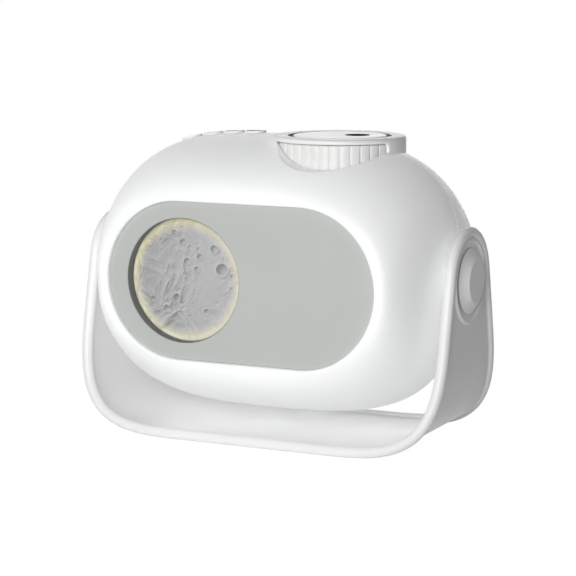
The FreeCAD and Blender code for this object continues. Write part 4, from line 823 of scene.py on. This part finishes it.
class MoonRelief:
    """Height of the moon's face over its dome."""

    def __init__(self, moon):
        self.moon = moon
        rng = random.Random(moon.seed)
        self.craters = list(MAIN_CRATERS)
        for _ in range(moon.small_craters):
            angle, out = rng.uniform(0, 2 * math.pi), STREWN_REACH * math.sqrt(rng.uniform(0.02, 1))
            radius = rng.uniform(*STREWN_RADII)
            self.craters.append((out * math.cos(angle), out * math.sin(angle), radius,
                                 rng.uniform(*STREWN_DEPTHS)))

    def at(self, x, z):
        """Height at a place given as parts of the radius."""
        total = 0.0
        for cx, cz, radius, depth in self.craters:
            reach = math.hypot(x - cx, z - cz)
            if reach < CRATER_REACH * radius:
                total += crater_height(reach, radius, depth * min(1.0, radius / FULL_CRATER))
        warp = noise.noise_vector(noise_place(x, z, WARP))
        wx, wz = x + WARP_REACH * warp.x, z + WARP_REACH * warp.z
        rough = noise.fractal(noise_place(wx, wz, ROUGH), *ROUGH_DETAIL)
        ridge = 1 - abs(noise.noise(noise_place(wx - RIDGE_LEAN * wz, wz, RIDGES)))
        fine = 1 - abs(noise.noise(noise_place(wx, wz, FINE)))
        out = math.hypot(x, z)
        west = clamped((WEST_START - x) / WEST_WIDTH)
        coast = clamped((out - COAST_START) / COAST_WIDTH)
        total += (PLAIN_RISE + RUGGED_RISE * max(west, coast)) * rough
        total += west * (RIDGE_RISE * (ridge ** 4 - RIDGE_LEVEL)
                         + FINE_RISE * (fine ** 4 - RIDGE_LEVEL))
        fade = clamped((1.0 - out) / RIM_FADE)
        return total * self.moon.relief * fade * fade * (3 - 2 * fade)


def moon_front(moon, centre, low_y):
    """Points, rows and painted relief shading of the domed front, which stops at the plane of its
    box.
    """
    rim_y = low_y + DOME_DEPTH
    sphere = (moon.radius ** 2 + moon.rise ** 2) / (2 * moon.rise)
    relief = MoonRelief(moon)
    top = relief.at(0, 0)
    points, rows, relief_shading = [(centre.x, rim_y - moon.rise - top, centre.z)], [[0]], [MIDDLE_TONE]
    inside, step = [top] * MOON_STEPS, moon.radius / MOON_RINGS
    turns = [2 * math.pi * i / MOON_STEPS for i in range(MOON_STEPS)]
    for ring in range(1, MOON_RINGS + 1):
        out = step * ring
        dome = rim_y - moon.rise + sphere - math.sqrt(sphere ** 2 - out ** 2)
        fall = max(0.0, 1 - (moon.radius - out) / EDGE_ROLL)
        roll = EDGE_ROLL * math.sqrt(max(0.0, 1 - fall ** 2))
        rises = [relief.at(out / moon.radius * math.cos(turn), out / moon.radius * math.sin(turn))
                 for turn in turns]
        rows.append(list(range(len(points), len(points) + MOON_STEPS)))
        for i, turn in enumerate(turns):
            x, z = out * math.cos(turn), out * math.sin(turn)
            points.append((centre.x + x, max(dome - roll - rises[i], low_y), centre.z + z))
            radial = (rises[i] - inside[i]) / step
            around = (rises[(i + 1) % MOON_STEPS] - rises[i - 1]) / (
                4 * math.pi * out / MOON_STEPS)
            # painted shading: slopes that face the light's direction are lighter, the rest darker
            slope = (radial * math.cos(turn + LIGHT_TURN)
                     - around * math.sin(turn + LIGHT_TURN))
            plain = LEVEL_TONE - WEST_SHADE * clamped(SHADE_START - SHADE_RATE * x / moon.radius)
            relief_shading.append(clamped(plain + HEIGHT_SHARE * rises[i] / moon.relief
                                 + SLOPE_SHARE * slope))
        inside = rises
    return points, rows, relief_shading


def make_moon_face(moon, centre):
    """The moon face: its cratered front, flat rim and hollow back."""
    low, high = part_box("moon_diffuser")
    points, rows, relief_shading = moon_front(moon, centre, low.y)
    rim_y = low.y + DOME_DEPTH
    outer, inner = half_size("moon_diffuser").x, moon.radius - MOON_WALL
    back = [(outer - MOON_BEVEL, rim_y), (outer, rim_y + MOON_BEVEL), (outer, high.y),
            (inner, high.y)] + [(inner * part, rim_y + deep * MM) for part, deep in MOON_HOLLOW]
    shell, faces = turned(back, MOON_STEPS, lambda a, b, y: (centre.x + a, y, centre.z + b))
    faces = [[v + len(points) for v in face] for face in faces]
    faces += bridge(rows + [list(range(len(points), len(points) + MOON_STEPS))])
    face = new_mesh("moon_face", points + shell, faces)
    # the painted relief shading is kept on the points for the moon's finish
    shading_layer = face.attributes.new("relief", "FLOAT", "POINT")
    shading_layer.data.foreach_set("value", relief_shading + [MIDDLE_TONE] * len(shell))
    settle("moon_face", face, "head", "moon_frosted", "moon_diffuser")


def make_moon_seal(moon, centre):
    """The grey seal round the moon face, which also lines the panel's hole; that lining's darker grey
    is painted shade in the recess round the moon.
    """
    front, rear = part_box("moon_gasket")
    outer, inner = half_size("moon_gasket").x, moon.radius + SEAL_GAP
    # painted shade: the lip lines the panel's hole wall in the seal's darker grey
    lip = section_at(SEAL_LIP, outer - SEAL_WALL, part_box("front_panel")[0].y + LIP_BEHIND)
    section = ([(outer, front.y), (outer, rear.y)] + section_at(SEAL_EDGE, inner, rear.y) + lip
               + [(lip[-1][0], front.y)])
    seal = turned(section, MOON_SEAL_STEPS, closed=True,
                  place=lambda a, b, y: (centre.x + a, y, centre.z + b))
    settle("moon_seal", new_mesh("moon_seal", *seal, crease=50), "head", "rubber_grey",
           "moon_gasket")


class PROJECTOR_OT_moon(bpy.types.Operator):
    """Make the cratered moon face with its flat rim and hollow back, and the seal round it"""
    bl_idname = "projector.moon"
    bl_label = "Moon face"

    def execute(self, context):
        moon, centre = context.scene.projector_moon, middle("moon_diffuser")
        make_moon_face(moon, centre)
        make_moon_seal(moon, centre)
        return {"FINISHED"}


# ---------------------------------------------------------------- finishes on the nodes
class PROJECTOR_OT_finishes(bpy.types.Operator):
    """Make every finish and lay it on the nodes that keep their shape"""
    bl_idname = "projector.finishes"
    bl_label = "Finishes"

    def execute(self, context):
        make_plastics()
        make_button_finish()
        make_metals()
        make_clear()
        make_electronics()
        make_moon_finish(context.scene.projector_moon)
        dress()
        return {"FINISHED"}


# ---------------------------------------------------------------- stage
# name, angle to the right of the front, angle over the table, distance and size of each lamp
LAMPS = (("front", 10, 13, 1.6, 0.9), ("left", -75, 38, 1.4, 0.9), ("rear", -165, 15, 1.6, 0.9))
AIM = Vector((0, 0, 0.07))
FLOOR_RADIUS, FLOOR_STEPS = 0.8, 96
# the floor's tone, its light where it is seen directly, and how much that light hides shadows
FLOOR_TONE, FLOOR_LIGHT, FLOOR_SHARE = (0.93, 0.93, 0.93, 1), 1.27, 0.75


def round_about(turn, rise):
    """The direction at a turn to the right of the front and a rise over the table."""
    return Vector((math.sin(turn) * math.cos(rise), -math.cos(turn) * math.cos(rise),
                   math.sin(rise)))


def area_lamp(name, place, size, power):
    """A soft square lamp that faces the object."""
    lamp = bpy.data.lights.new(name, "AREA")
    lamp.shape, lamp.size, lamp.energy = "SQUARE", size, power
    holder = placed(name, lamp)
    holder.location = place
    holder.rotation_euler = (AIM - place).to_track_quat("-Z", "Y").to_euler()


def seen_directly(nodes):
    """A value that is one for rays from the camera, off mirrors and through glass."""
    path = nodes.node("ShaderNodeLightPath").outputs
    total = path["Is Camera Ray"]
    for ray in ("Is Glossy Ray", "Is Transmission Ray"):
        total = nodes.math("MAXIMUM", total, path[ray])
    return total


def cleared(data):
    """The emptied node tree of a world or a material."""
    data.use_nodes = True
    data.node_tree.nodes.clear()
    return Nodes(data.node_tree)


def make_world(strength):
    """Even light all round, and plain white where it is seen directly."""
    world = bpy.data.worlds.new("studio")
    bpy.context.scene.world = world
    nodes = cleared(world)
    even, white = (nodes.node("ShaderNodeBackground", (1, 1, 1, 1), level).outputs[0]
                   for level in (strength, 1.0))
    blend = nodes.node("ShaderNodeMixShader", seen_directly(nodes), even, white)
    nodes.node("ShaderNodeOutputWorld", blend.outputs[0])


def make_floor():
    """A round pale table top that is seen as white and keeps a faint shadow."""
    mesh = bpy.data.meshes.new("floor")
    turns = [2 * math.pi * i / FLOOR_STEPS for i in range(FLOOR_STEPS)]
    mesh.from_pydata([(FLOOR_RADIUS * math.cos(turn), FLOOR_RADIUS * math.sin(turn), 0)
                      for turn in turns], [], [range(FLOOR_STEPS)])
    floor = placed("floor", mesh)
    material = bpy.data.materials.new("floor_pale")
    nodes = cleared(material)
    matte = nodes.node("ShaderNodeBsdfDiffuse", FLOOR_TONE).outputs[0]
    white = nodes.node("ShaderNodeEmission", Strength=FLOOR_LIGHT).outputs[0]
    share = nodes.math("MULTIPLY", seen_directly(nodes), FLOOR_SHARE)
    blend = nodes.node("ShaderNodeMixShader", share, matte, white)
    nodes.node("ShaderNodeOutputMaterial", blend.outputs[0])
    mesh.materials.append(material)


class PROJECTOR_OT_stage(bpy.types.Operator):
    """Make the pale floor, the soft lamps, the even surround and the camera"""
    bl_idname = "projector.stage"
    bl_label = "Stage"

    def execute(self, context):
        stage = context.scene.projector_stage
        make_floor()
        make_world(stage.surround)
        for name, turn, rise, away, size in LAMPS:
            area_lamp(name + "_lamp", round_about(math.radians(turn), math.radians(rise)) * away,
                      size, getattr(stage, name))
        back = round_about(stage.turn, stage.rise)
        lens = bpy.data.cameras.new("camera")
        lens.sensor_width, lens.lens = 36.0, stage.focal
        lens.clip_start, lens.clip_end = 0.01, 20.0
        camera = placed("camera", lens)
        camera.location = Vector(stage.target) + back * stage.distance
        camera.rotation_euler = (-back).to_track_quat("-Z", "Y").to_euler()
        context.scene.camera = camera
        context.scene.view_settings.view_transform = "Standard"
        return {"FINISHED"}


# ---------------------------------------------------------------- add-on
class PROJECTOR_PT_panel(bpy.types.Panel):
    """Lists the steps and their sizes"""
    bl_idname = "PROJECTOR_PT_panel"
    bl_label = "Planetarium projector"
    bl_space_type = "VIEW_3D"
    bl_region_type = "UI"
    bl_category = "Projector"

    def draw(self, context):
        for operator in OPERATORS:
            self.layout.operator(operator.bl_idname)
        for settings, _ in SETTINGS:
            group = getattr(context.scene, settings)
            box = self.layout.box()
            for name in group.__annotations__:
                box.prop(group, name)


OPERATORS = (PROJECTOR_OT_finishes, PROJECTOR_OT_stand, PROJECTOR_OT_ring, PROJECTOR_OT_seals,
             PROJECTOR_OT_screws, PROJECTOR_OT_moon, PROJECTOR_OT_stage)
SETTINGS = (("projector_stand", StandSettings), ("projector_ring", RingSettings),
            ("projector_screws", ScrewSettings), ("projector_moon", MoonSettings),
            ("projector_stage", StageSettings))


def register():
    """Add the settings, the steps and the panel."""
    for name, group in SETTINGS:
        bpy.utils.register_class(group)
        setattr(bpy.types.Scene, name, PointerProperty(type=group))
    for operator in OPERATORS:
        bpy.utils.register_class(operator)
    bpy.utils.register_class(PROJECTOR_PT_panel)


def unregister():
    """Take them away again."""
    bpy.utils.unregister_class(PROJECTOR_PT_panel)
    for operator in reversed(OPERATORS):
        bpy.utils.unregister_class(operator)
    for name, group in reversed(SETTINGS):
        delattr(bpy.types.Scene, name)
        bpy.utils.unregister_class(group)


def main():
    """Run every step in order."""
    register()
    for operator in OPERATORS:
        getattr(bpy.ops.projector, operator.bl_idname.split(".")[1])()


if __name__ == "__main__":
    main()
